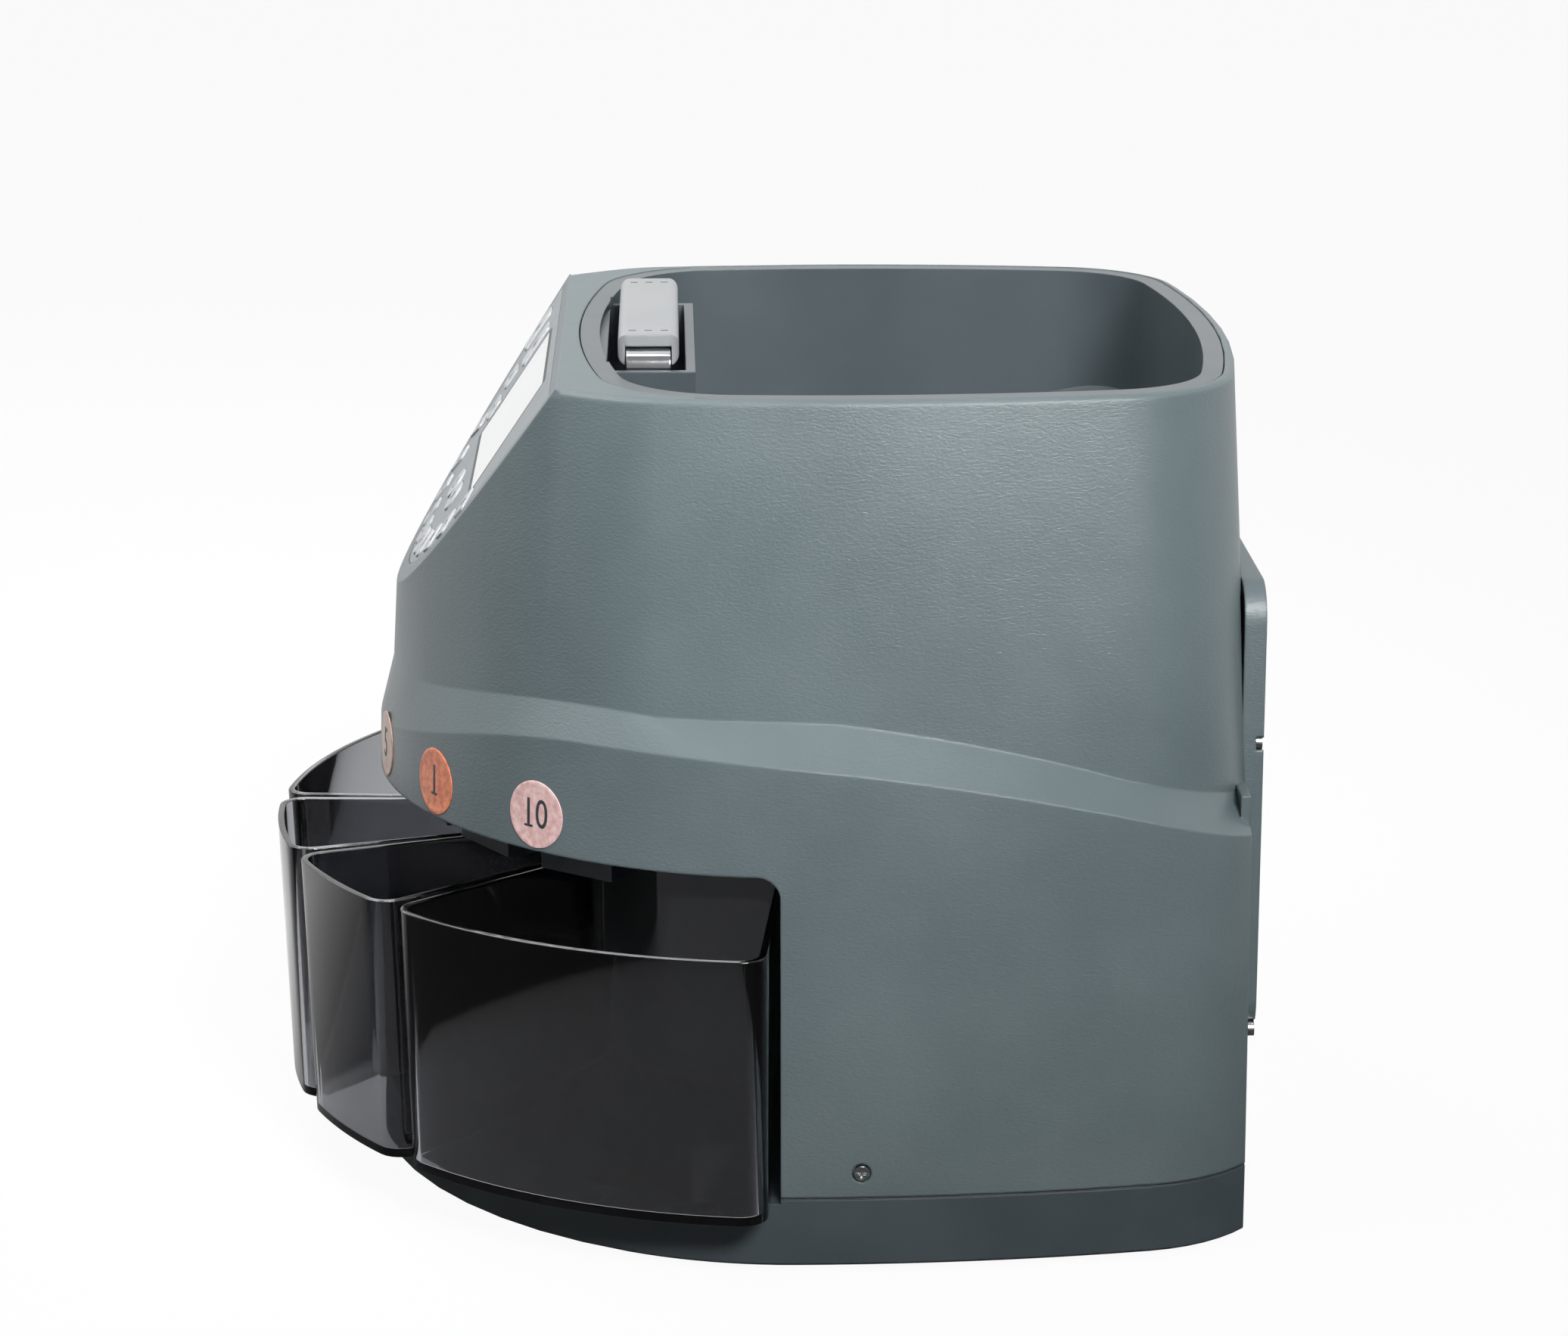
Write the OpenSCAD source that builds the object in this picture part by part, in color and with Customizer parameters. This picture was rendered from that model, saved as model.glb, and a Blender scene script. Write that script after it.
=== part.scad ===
// Automatic coin sorter for a shop counter, with five pull-out coin bins.
// Millimetres. X runs across the machine, the front faces -Y, Z is up.
// The design frame has the sorter axis at X 0, Y 0; place() centres the machine on its footprint.

/* [Heights] */
// Height of the hopper rim above the counter
rim_z = 266; // [240:1:300]
// Height of the seam between base and housing
seam_z = 24.5; // [20:0.5:30]
// Gap under the base that the feet fill
foot_gap = 2.5; // [1:0.5:6]
// Top of the floor of the bin bay
bay_floor_z = 22.5; // [18:0.5:26]
// Lower edge of the skirt over the bins
skirt_low_z = 125; // [115:1:135]
// Rim height of the coin bins
bin_top_z = 107; // [90:1:112]
// Underside of the deck plate
deck_z = 137; // [132:1:142]

/* [Housing walls] */
// Wall thickness of the housing
wall = 3; // [2:0.1:4]
// Draft of the upper body, millimetres outward per millimetre down
upper_draft = 0.056; // [0.02:0.002:0.08]
// Draft of the skirt, millimetres inward per millimetre up
skirt_draft = 0.03; // [0.01:0.002:0.05]
// Fillet on the outer edge of the rim
rim_fillet = 2.5; // [1:0.1:2.8]
// Width of the rim of the housing outside the hopper
rim_width = 3.4; // [3.2:0.1:6]
// Gap round the hopper flange
flange_gap = 0.3; // [0.1:0.05:0.6]
// Depth of the hopper flange in the rim
flange_depth = 4; // [2:0.5:6]
// Width of the ledge that carries the hopper flange
flange_ledge = 3; // [2:0.5:5]

/* [Upper body outline] */
// Front of the upper body's outline, ahead of the sorter axis
upper_tip = 125; // [115:1:135]
// Radius of the front bow
upper_bow = 135; // [125:1:150]
// Radius between the bow and the side
upper_turn = 42; // [36:1:60]
// Half width at the rim
upper_half = 125; // [115:1:135]
// Place of the greatest width behind the sorter axis
upper_wide_y = 15; // [5:1:25]
// Radius of the side
upper_side = 480; // [350:10:700]
// Radius of the rear corner
upper_corner = 43; // [30:1:55]
// Radius of the rear
upper_rear_bow = 500; // [350:10:800]
// Rear of the rim behind the sorter axis
upper_rear = 138; // [130:0.5:145]

/* [Base outline] */
// Front of the base, ahead of the sorter axis
base_tip = 139; // [130:1:148]
// Radius of the front bow of the base
base_bow = 150; // [140:1:165]
// Radius between the bow and the side of the base
base_turn = 120; // [90:1:135]
// Half width of the base
base_half = 147; // [138:1:155]
// Place of the base's greatest width behind the sorter axis
base_wide_y = 5; // [0:1:15]
// Radius of the side of the base
base_side = 600; // [400:10:900]
// Radius of the rear corner of the base
base_corner = 52; // [40:1:65]
// Radius of the rear before it is cut flat
base_rear_bow = 500; // [350:10:800]
// Rear of the outline before it is cut flat
base_rear = 157; // [152:1:165]
// Flat rear face behind the sorter axis
rear_flat = 136; // [130:0.5:140]

/* [Ledge round the body] */
// Greatest height of the ledge's upper edge
ledge_z = 172; // [165:0.5:176]
// Place of that height, ahead of the sorter axis
ledge_peak = 70; // [60:1:80]
// Drop from the upper edge of the ledge to its lower edge
ledge_drop = 10.5; // [8:0.5:13]
// Fall of the upper edge to the front, per square of the distance
ledge_front_fall = 0.0027; // [0.001:0.0001:0.003]
// Fall of the lower edge to the front, per square of the distance
ledge_low_fall = 0.0042; // [0.003:0.0001:0.005]
// Fall of both edges to the rear, per square of the distance
ledge_rear_fall = 0.00075; // [0.0004:0.00005:0.0008]

/* [Control panel] */
// Slope of the panel from the vertical
panel_angle = 34; // [25:1:45]
// Top edge of the panel, ahead of the sorter axis
panel_edge = 74.6; // [70:0.2:80]
// Margin of the overlay inside the panel's outline
overlay_margin = 4; // [2:0.5:8]
// Thickness of the overlay
overlay_thick = 0.8; // [0.4:0.1:1.2]
// Width of the LCD window
lcd_wide = 92; // [80:1:93]
// Height of the LCD window along the slope
lcd_tall = 42; // [36:1:42]
// Offset of the LCD window to the right
lcd_shift = 8.5; // [7:0.5:9]
// Top of the LCD window below the panel's top edge
lcd_drop = 9; // [7:0.5:12]
// Thickness of the LCD window
lens_thick = 2; // [1:0.1:2.4]
// Depth of the LCD module
lcd_deep = 6; // [4:0.5:8]

/* [Keys] */
// Radius of the fan of keys
fan_radius = 78; // [72:0.5:82]
// Centre of the fan below the panel's top edge
fan_drop = 4.5; // [2:0.5:8]
// Step between the fan keys
fan_step = 11.4; // [10.5:0.1:12]
// Width of a fan key
fan_key_wide = 7; // [5:0.5:9]
// Length of a fan key
fan_key_long = 10; // [8:0.5:11]
// Width of an oval key
oval_wide = 13; // [10:0.5:15]
// Length of an oval key
oval_long = 10; // [8:0.5:11]
// Spacing of the oval keys
oval_pitch = 19; // [17:0.5:24]
// Centre of the oval keys below the panel's top edge
oval_drop = 63; // [61:0.5:64]
// Width of a key beside the LCD
side_key_wide = 12; // [10:0.5:13]
// Length of the upper keys beside the LCD
side_key_long = 16; // [12:0.5:17]
// Length of the lower keys beside the LCD
side_key_short = 8; // [6:0.5:9]
// Centre of the inner key beside the LCD
side_inner_x = 52; // [50:0.5:53]
// Centre of the outer key beside the LCD
side_outer_x = 81; // [70:0.5:83]
// Centre of the third key beside the LCD
side_third_x = 62; // [61:0.5:64]
// Third key beside the LCD below the panel's top edge
side_third_drop = 33.5; // [33:0.5:34]
// Centre of the fourth key beside the LCD
side_fourth_x = 50; // [49:0.5:51]
// Fourth key beside the LCD below the panel's top edge
side_fourth_drop = 43.5; // [43:0.5:46]
// Height of a key cap over the overlay
key_proud = 0.6; // [0.5:0.1:1]
// Travel of a key
key_travel = 0.45; // [0.3:0.05:0.5]
// Gap round a key cap
key_gap = 0.4; // [0.3:0.05:0.6]

/* [Coin bins] */
// Radius of the bins' outer rim about the sorter axis
bin_reach = 170; // [160:1:180]
// Draft of the bins' outer wall over its height
bin_draft = 3; // [1:0.5:5]
// Inner radius of the bins
bin_inner = 83; // [82:1:90]
// Wall of a bin
bin_wall = 2; // [1.5:0.1:3]
// Floor of a bin
bin_floor = 2.5; // [2:0.1:4]
// Rounding of a bin's outer corners
bin_round = 8; // [5:0.5:10]
// Gap under the bins
bin_rest = 0.3; // [0.3:0.1:1]
// Outer edge of the first and last bin, degrees from the front
bin_end = 85.5; // [84:0.5:86]
// Gap between bins, degrees
bin_split = 1; // [0.6:0.1:1.4]
// First division between bins, degrees from the front
division_1 = 41; // [39:0.5:42]
// Second division between bins
division_2 = 18.7; // [17:0.5:20]
// Third division between bins
division_3 = -3.6; // [-5:0.2:-2]
// Fourth division between bins
division_4 = -41; // [-43:0.5:-39]

/* [Sorting] */
// Smallest coin diameter
coin_1 = 17.9; // [16:0.1:19]
// Second coin diameter
coin_2 = 19.1; // [18:0.1:20]
// Third coin diameter
coin_3 = 21.2; // [20:0.1:22]
// Fourth coin diameter
coin_4 = 24.3; // [23:0.1:25]
// Largest coin diameter
coin_5 = 26.5; // [25:0.1:27]
// Angle of the first chute from the front
chute_1 = 54; // [51:0.5:57]
// Angle of the second chute
chute_2 = 33.5; // [32:0.5:35]
// Angle of the third chute
chute_3 = 13.5; // [12:0.5:15]
// Angle of the fourth chute
chute_4 = -15; // [-18:0.5:-12]
// Angle of the fifth chute
chute_5 = -54; // [-57:0.5:-51]
// Clearance of a coin in its opening
coin_gap = 0.6; // [0.3:0.1:1]
// Radius of the rail the coins run along
rail_radius = 118; // [115:0.5:119]
// Thickness of the sorting ring
ring_thick = 4; // [3:0.5:5]
// Gap between deck and sorting ring
ring_lift = 6; // [5:0.5:8]
// Radius of the feed disc
disc_radius = 80; // [76:0.5:81]
// Thickness of the feed disc
disc_thick = 3; // [2:0.5:4]
// Lower end of the chutes
chute_low_z = 112; // [110:0.5:116]
// Wall of a chute
chute_wall = 1.6; // [1:0.1:2]

/* [Drive] */
// Spindle diameter
spindle_dia = 8; // [6:0.5:10]
// Running gap of the shafts in their bearings, on the radius
running_gap = 0.03; // [0.01:0.01:0.1]
// Outside diameter of a bearing
bearing_dia = 22; // [20:0.5:26]
// Width of a bearing
bearing_wide = 7; // [5:0.5:8]
// Radius of the drive pulley
pulley_radius = 45; // [40:0.5:48]
// Radius of the motor pulley
motor_pulley_radius = 12; // [10:0.5:14]
// Distance of the motor behind the spindle
motor_y = 62; // [60:0.5:66]
// Motor diameter
motor_dia = 58; // [45:1:60]
// Motor length
motor_long = 60; // [45:1:64]
// Underside of the motor bracket's plate
bracket_z = 94; // [90:1:96]
// Width of the belt
belt_wide = 6; // [4:0.5:7]
// Thickness of the belt
belt_thick = 1.2; // [0.8:0.1:2]
// Gap between belt and pulleys
belt_gap = 0.2; // [0.1:0.05:0.4]
// Underside of the pulleys
pulley_z = 103; // [101:0.5:104]
// Width of the pulleys
pulley_wide = 8; // [8:0.5:9]

/* [Handle] */
// Length of the grip
grip_long = 106; // [90:1:108]
// Width of the grip
grip_wide = 19; // [16:0.5:21]
// Height of the grip
grip_tall = 9.6; // [8:0.2:12]
// Top of the grip above the rim
grip_over = 7; // [5:0.5:9]
// Front face of the grip, ahead of the sorter axis
grip_front = 56.5; // [56:0.5:58]
// Lift of the handle
handle_lift = 10; // [6:0.5:10]
// Room in the handle well past each end of the grip, with its wall
well_side = 9; // [8:0.5:12]
// Rear face of the handle well, ahead of the sorter axis
well_rear = 32.5; // [30:0.5:34]
// Depth of the handle well below the rim
well_deep = 44; // [42:0.5:48]
// Wall of the handle well
well_wall = 3; // [2:0.1:4]
// Width of a strap
strap_wide = 13.6; // [11:0.2:15]
// Thickness of a strap
strap_thick = 1.5; // [1:0.1:1.8]

/* [Rear] */
// Half width of the rear cover
cover_half = 88; // [80:1:92]
// Lower edge of the rear cover
cover_low_z = 54; // [50:1:58]
// Upper edge of the rear cover
cover_top_z = 200; // [185:1:205]
// Outer face of the rear cover behind the sorter axis
rear_reach = 142.8; // [142:0.2:146]
// Corner radius of the rear cover
cover_round = 12; // [6:0.5:18]
// Half width of the inlet plate
inlet_half = 98; // [80:1:100]
// Lower edge of the inlet plate
inlet_low_z = 36; // [33:0.5:38]
// Thickness of the inlet plate
inlet_thick = 3; // [2:0.5:4]
// Tilt of the rocker switch to each side
rocker_tilt = 8; // [5:0.5:10]

/* [Labels and fasteners] */
// Diameter of a coin label
label_dia = 21; // [18:0.5:22]
// Thickness of a coin label
label_thick = 0.3; // [0.2:0.05:0.5]
// Thread diameter of the screws
screw_dia = 3; // [2.5:0.1:3.2]
// Head diameter of the screws
screw_head = 4.8; // [4.2:0.1:5.2]
// Head height of the screws
screw_head_tall = 2; // [1.5:0.1:2.4]
// Counterbore for a screw head
screw_bore = 5.9; // [5.6:0.1:7]
// Side screw behind the sorter axis
side_screw_y = 16; // [10:1:24]
// Height of the side screw
side_screw_z = 32.3; // [31:0.1:36]

/* [Hidden] */
$fn = 96;
eps = 0.05;
far = 400;
shift_y = (bin_reach - rear_reach) / 2;
lip_z = rim_z - flange_depth;
floor_z = foot_gap + wall;
deck_top = deck_z + wall;
ring_z = deck_top + ring_lift;
ring_top = ring_z + ring_thick;
disc_z = ring_top + 1;
funnel_y = 10;
funnel_hole = 62;
funnel_low = disc_z + disc_thick + 24;
funnel_run = 78;
funnel_rise = 47;
well_half = grip_long / 2 + well_side;
well_floor_z = rim_z - well_deep;
well_top_z = rim_z - 3;
grip_z = rim_z + grip_over - grip_tall;
grip_mid_y = -grip_front + grip_wide / 2;
coins = [coin_1, coin_2, coin_3, coin_4, coin_5];
chutes = [chute_1, chute_2, chute_3, chute_4, chute_5];
bin_edges = [
    [division_1 + bin_split / 2, bin_end],
    [division_2 + bin_split / 2, division_1 - bin_split / 2],
    [division_3 + bin_split / 2, division_2 - bin_split / 2],
    [division_4 + bin_split / 2, division_3 - bin_split / 2],
    [-bin_end, division_4 - bin_split / 2]
];

// Outlines made of tangent arcs

// Arcs of a closed outline, each as centre X, centre Y, radius, first and last direction of its normal.
// The directions count from the front, and the outline is the same on both sides.
function outline(tip, bow, turn, half, wide_y, side, corner, rear_bow, rear) =
    let (
        d = bow - turn,
        e = side - turn,
        a = side - half,
        b = wide_y + tip - bow,
        t1 = asin((e * e - d * d - a * a - b * b) / (2 * d) / norm([a, b])) - atan2(b, a),
        t2 = atan2(d * sin(t1) + a, d * cos(t1) + b),
        f = side - corner,
        g = rear_bow - corner,
        h = wide_y - rear + rear_bow,
        t3 = asin((g * g - f * f - a * a - h * h) / (2 * f) / norm([a, h])) - atan2(-h, -a),
        t4 = atan2(f * sin(t3) - a, f * cos(t3) - h)
    )
    [
        [0, bow - tip, bow, -t1, t1],
        [d * sin(t1), bow - tip - d * cos(t1), turn, t1, t2],
        [half - side, wide_y, side, t2, t3],
        [half - side + f * sin(t3), wide_y - f * cos(t3), corner, t3, t4],
        [0, rear - rear_bow, rear_bow, t4, 360 - t4]
    ];

upper = outline(upper_tip, upper_bow, upper_turn, upper_half, upper_wide_y, upper_side, upper_corner,
    upper_rear_bow, upper_rear);
based = outline(base_tip, base_bow, base_turn, base_half, base_wide_y, base_side, base_corner,
    base_rear_bow, base_rear);
// Radius of the straight-looking front of the hopper's outline
hopper_bow = 500;
// Front corner radius of the hopper's outline
hopper_turn = upper_turn + 2;
// Front of the hopper's outline, ahead of the sorter axis
hopper_tip = panel_edge - 5.5;
hopper = outline(hopper_tip, hopper_bow, hopper_turn, upper_half - rim_width, upper_wide_y,
    upper_side - rim_width, upper_corner - rim_width, upper_rear_bow - rim_width, upper_rear - rim_width);

// Point on an arc at a direction, moved out by an offset
function on_arc(a, t, o) = [a[0] + (a[2] + o) * sin(t), a[1] - (a[2] + o) * cos(t)];

// Points all round an outline at an offset, with a number of steps on each arc
function ring_points(arcs, o, steps = 10) =
    let (half = [for (i = [0 : 4]) for (k = [0 : steps - 1])
        let (t0 = i == 0 ? 0 : arcs[i][3], t1 = i == 4 ? 180 : arcs[i][4])
        on_arc(arcs[i], t0 + (t1 - t0) * k / steps, o)])
    concat(half, [for (k = [len(half) - 1 : -1 : 1]) [-half[k][0], half[k][1]]]);

// Sweep a profile of offset and height along one arc
module sweep_arc(a) {
    translate([a[0], a[1], 0])
        rotate([0, 0, a[3] - 90])
            rotate_extrude(angle = a[4] - a[3])
                translate([a[2], 0])
                    children();
}

// Small shared shapes

module place() {
    translate([0, shift_y, 0])
        children();
}

// Rectangle with round corners, centred
module round_rect(x, y, r) {
    square([x - 2 * r, y], center = true);
    square([x, y - 2 * r], center = true);
    for (i = [-1, 1])
        for (j = [-1, 1])
            translate([i * (x / 2 - r), j * (y / 2 - r)])
                circle(r);
}

// Everything in front of a plane across the machine
module ahead_of(y) {
    translate([-far, y - 2 * far, -far])
        cube([2 * far, 2 * far, 2 * far]);
}

// Everything behind a plane across the machine
module behind(y) {
    translate([-far, y, -far])
        cube([2 * far, 2 * far, 2 * far]);
}

// Put children in the panel's plane: X across, Y up the slope, Z out of the panel
module on_panel() {
    translate([0, -panel_edge, rim_z])
        rotate([90 - panel_angle, 0, 0])
            children();
}

// Layer of space over the panel between two heights above its face
module panel_layer(z0, z1, top = 20) {
    on_panel()
        translate([-far, -far, z0])
            cube([2 * far, far + top, z1 - z0]);
}

// Cone of the upper body's front bow at an offset
module bow_cone(o) {
    low = rim_z - 120;
    translate([0, upper_bow - upper_tip, low])
        cylinder(h = 120, r1 = upper_bow + o + 120 * upper_draft, r2 = upper_bow + o);
}

// Screw along Z with its head above Z 0 and its shank below
module screw(shank) {
    translate([0, 0, -shank])
        cylinder(h = shank + eps, d = screw_dia);
    difference() {
        cylinder(h = screw_head_tall, d = screw_head);
        for (a = [0, 90])
            rotate([0, 0, a])
                translate([-screw_head * 0.3, -screw_head * 0.07, screw_head_tall * 0.5])
                    cube([screw_head * 0.6, screw_head * 0.14, screw_head_tall]);
    }
}

// Base

side_tab_x = base_half - 2 * wall;
post_x = 88;
post_y = 96;
leg_x = 36;
leg_y = 28;
foot_dia = 18;
bay_y = -8.5;
rear_plate_half = 112;
foot_sink = 2;

module foot_spots() {
    for (i = [-1, 1]) {
        translate([i * 92, -78, 0])
            children();
        translate([i * 92, 104, 0])
            children();
    }
}

module leg_spots() {
    for (i = [-1, 1])
        for (j = [-1, 1])
            translate([i * leg_x, motor_y + j * leg_y, 0])
                children();
}

module base_tray() {
    seam_gap = 0.8;
    base_step = 0.6;
    color("#4b565c")
        difference() {
            union() {
                difference() {
                    union() {
                        difference() {
                            union() {
                                prism(based, foot_gap, foot_gap + base_step, -base_step);
                                prism(based, foot_gap + base_step, seam_z - seam_gap, 0);
                                prism(based, seam_z - seam_gap, seam_z, -seam_gap);
                            }
                            prism(based, floor_z, far, -wall);
                        }
                        translate([0, 0, bay_floor_z - wall])
                            linear_extrude(wall)
                                intersection() {
                                    polygon(ring_points(based, -wall / 2));
                                    translate([-far, -far])
                                        square([2 * far, far - 1.5]);
                                }
                    }
                    behind(rear_flat);
                    translate([-far, -far, bay_floor_z])
                        cube([2 * far, far + bay_y, far]);
                }
                translate([-rear_plate_half, rear_flat - wall, foot_gap])
                    cube([2 * rear_plate_half, wall, seam_z - foot_gap]);
                for (i = [-1, 1]) {
                    translate([i * post_x, post_y, foot_gap + 1])
                        cylinder(h = deck_z - foot_gap - 1, d = 10);
                    translate([i * (side_tab_x - 4) - 3, side_screw_y - 8, foot_gap + 1])
                        cube([6, 16, side_screw_z + 7 - foot_gap]);
                }
            }
            foot_spots()
                translate([0, 0, foot_gap - eps])
                    cylinder(h = foot_sink + eps, d = foot_dia);
            leg_spots() {
                translate([0, 0, foot_gap - eps])
                    cylinder(h = 1.2, d = screw_bore);
                cylinder(h = far, d = screw_dia + 0.4);
            }
            for (i = [-1, 1])
                translate([0, side_screw_y, side_screw_z])
                    rotate([0, i * 90, 0])
                        cylinder(h = far, d = screw_dia);
        }
}

module rubber_feet() {
    color("#1f2123")
        foot_spots()
            cylinder(h = foot_gap + foot_sink, d = foot_dia);
}

module base_screws() {
    color("#b9bcc0")
        leg_spots()
            translate([0, 0, foot_gap + 1.15])
                mirror([0, 0, 1])
                    screw(14);
}

// Housing

// Offset of the skirt's outer face at a height
function skirt_at(z) = -skirt_draft * (z - seam_z);

// Heights of the ledge's two edges at a place along the machine
function ledge_fall(y, front) = (y < -ledge_peak ? front : ledge_rear_fall) * pow(y + ledge_peak, 2);
function ledge_high(y) = ledge_z - ledge_fall(y, ledge_front_fall);
function ledge_low(y) = ledge_z - ledge_drop - ledge_fall(y, ledge_low_fall);

// Arc of an outline that faces a direction between straight ahead and the rear
function facing(arcs, t) = t <= arcs[0][4] ? 0 : t <= arcs[1][4] ? 1 : t <= arcs[2][4] ? 2 : t <= arcs[3][4] ? 3 : 4;
function outline_at(arcs, t, o) =
    let (p = on_arc(arcs[facing(arcs, abs(t))], abs(t), o))
    [t < 0 ? -p[0] : p[0], p[1]];

// Place of a section's point on an outline, at an offset and a height
function placed(arcs, t, o, z) = let (p = outline_at(arcs, t, o)) [p[0], p[1], z];

// Section of the housing's shell in one direction, up its outer face, over the rim and down inside
function shell_section(t) =
    let (
        y = outline_at(based, t, 0)[1],
        high = ledge_high(y),
        low = ledge_low(y),
        flare = upper_draft * (rim_z - high),
        f = rim_fillet,
        seat = flange_gap - rim_width,
        hold = -rim_width - flange_ledge,
        under = lip_z - flange_depth
    )
    concat(
        [placed(based, t, 0, seam_z), placed(based, t, skirt_at(low), low), placed(upper, t, flare, high)],
        [for (a = [0 : 30 : 90]) placed(upper, t, f * cos(a) - f, rim_z - f + f * sin(a))],
        [
            placed(upper, t, seat, rim_z), placed(upper, t, seat, lip_z),
            placed(upper, t, hold, lip_z), placed(upper, t, hold, under),
            placed(upper, t, -wall, under - flange_ledge),
            placed(upper, t, flare - wall, high - wall * 1.4),
            placed(based, t, skirt_at(low) - wall, low - wall * 0.6), placed(based, t, -wall, seam_z)
        ]
    );

// Directions all round the housing at which its shell has a section
shell_steps = [18, 6, 9, 12, 4];
shell_right = [for (i = [0 : 4]) for (k = [0 : shell_steps[i] - 1])
    let (t0 = i == 0 ? 0 : based[i][3], t1 = i == 4 ? 180 : based[i][4])
    t0 + (t1 - t0) * k / shell_steps[i]];
shell_turns = concat([for (k = [len(shell_right) - 1 : -1 : 1]) -shell_right[k]], shell_right, [180]);

module shell_moulding() {
    count = len(shell_turns);
    sides = len(shell_section(0));
    points = [for (t = shell_turns) each shell_section(t)];
    walls = [for (i = [0 : count - 1]) for (k = [0 : sides - 1])
        let (
            j = (i + 1) % count,
            a = i * sides + k,
            b = i * sides + (k + 1) % sides,
            c = j * sides + (k + 1) % sides,
            d = j * sides + k
        )
        each [[a, b, c], [a, c, d]]];
    polyhedron(points, walls);
}

// Space of the bin bay with its rounded upper corner
module bay_space() {
    r = 7;
    rotate([90, 0, 90])
        translate([0, 0, -far])
            linear_extrude(2 * far) {
                translate([-far, 0])
                    square([far + bay_y, skirt_low_z - r]);
                translate([-far, 0])
                    square([far + bay_y - r, skirt_low_z]);
                translate([bay_y - r, skirt_low_z - r])
                    circle(r);
            }
}

// Opening in the panel for every key, grown by a gap
module key_spaces(gap, z0, z1) {
    for (k = [0 : 9])
        on_fan(k)
            translate([0, 0, z0])
                linear_extrude(z1 - z0)
                    round_rect(fan_key_wide + 2 * gap, fan_key_long + 2 * gap, 1.5 + gap);
    for (k = [0, 1])
        on_oval(k)
            translate([0, 0, z0])
                linear_extrude(z1 - z0)
                    round_rect(oval_wide + 2 * gap, oval_long + 2 * gap, oval_long / 2 - 0.5 + gap);
    for (k = [0 : 3])
        on_side(k)
            translate([0, 0, z0])
                linear_extrude(z1 - z0)
                    round_rect(side_key_wide + 2 * gap, side_long(k) + 2 * gap, 1.5 + gap);
}

module lcd_spot() {
    on_panel()
        translate([lcd_shift, -lcd_drop - lcd_tall / 2, 0])
            children();
}

panel_inner = -overlay_thick - wall;

module panel_wall() {
    intersection() {
        bow_cone(-0.5);
        panel_layer(panel_inner, 0, 0);
    }
}

// Recess of the overlay, holes of the keys and seat of the LCD window
module panel_cuts() {
    intersection() {
        bow_cone(0.2 - overlay_margin);
        panel_layer(-overlay_thick, 1, 0.2 - overlay_margin);
    }
    key_spaces(key_gap, panel_inner - 1, 1);
    lcd_spot()
        translate([0, 0, -lens_thick])
            linear_extrude(lens_thick + 1)
                square([lcd_wide + 0.4, lcd_tall + 0.4], center = true);
    lcd_spot()
        translate([0, 0, panel_inner - 6])
            linear_extrude(10)
                square([lcd_wide - 6, lcd_tall - 6], center = true);
}

// Top of the housing between the panel and the hopper
module front_strip() {
    difference() {
        union() {
            translate([0, 0, lip_z])
                linear_extrude(flange_depth)
                    strip_plan(flange_gap);
            translate([0, 0, lip_z - flange_depth])
                linear_extrude(flange_depth)
                    strip_plan(-flange_ledge);
        }
        panel_layer(0, far);
    }
}

// Plan of the strip between the wall of the upper body and the hopper's outline
module strip_plan(gap) {
    difference() {
        polygon(ring_points(upper, -rim_fillet - 0.4));
        polygon(ring_points(hopper, gap));
        translate([-far, -hopper_tip + hopper_turn - 8])
            square(2 * far);
    }
}

// Floor under the overhang of the upper body behind the flat rear
module rear_floor() {
    z = ledge_high(rear_flat) - 2;
    translate([0, 0, z])
        linear_extrude(wall)
            intersection() {
                polygon(ring_points(upper, upper_draft * (rim_z - z) - 1));
                translate([-far, rear_flat - wall / 2])
                    square(2 * far);
            }
}

module body_shell() {
    difference() {
        union() {
            difference() {
                shell_moulding();
                panel_layer(0, far);
                behind_ledge();
                bay_space();
            }
            panel_wall();
            front_strip();
        }
        panel_cuts();
    }
}

module main_housing() {
    color("#626e76")
        difference() {
            union() {
                body_shell();
                rear_floor();
                translate([-rear_plate_half, rear_flat - wall, seam_z])
                    cube([2 * rear_plate_half, wall, ledge_high(rear_flat) - seam_z]);
            }
            translate([-cover_half - 0.4, rear_flat, cover_low_z - 0.4])
                cube([2 * cover_half + 0.8, 40, cover_top_z - cover_low_z + 0.8]);
            translate([-cover_half + 4, rear_flat - 30, cover_low_z + 4])
                cube([2 * cover_half - 8, 60, cover_top_z - cover_low_z - 8]);
            for (i = [-1, 1])
                translate([i * (base_half + 3), side_screw_y, side_screw_z])
                    rotate([0, i * 90, 0]) {
                        translate([0, 0, -12])
                            cylinder(h = 30, d = screw_dia + 0.4);
                        translate([0, 0, -4.6])
                            cylinder(h = 30, d = screw_bore);
                    }
            rear_screw_spots()
                cylinder(h = 12, d = screw_dia, center = true);
            inlet_spot()
                inlet_body(0.2);
            rocker_spot()
                cube([22, 14, 60], center = true);
        }
}

// Space behind the flat rear, below the ledge
module behind_ledge() {
    translate([-far, rear_flat, 0])
        cube([2 * far, far, ledge_high(rear_flat) - 2]);
}

module side_screws() {
    color("#c4c7ca")
        for (i = [-1, 1])
            translate([i * (base_half - 1.6), side_screw_y, side_screw_z])
                rotate([0, i * 90, 0])
                    screw(9);
}

// Rear

module rear_screw_spots() {
    for (i = [-1, 1])
        for (z = [cover_low_z + 2.2, cover_low_z + 96])
            translate([i * (cover_half - 2.2), rear_flat, z])
                rotate([-90, 0, 0])
                    children();
}

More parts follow.
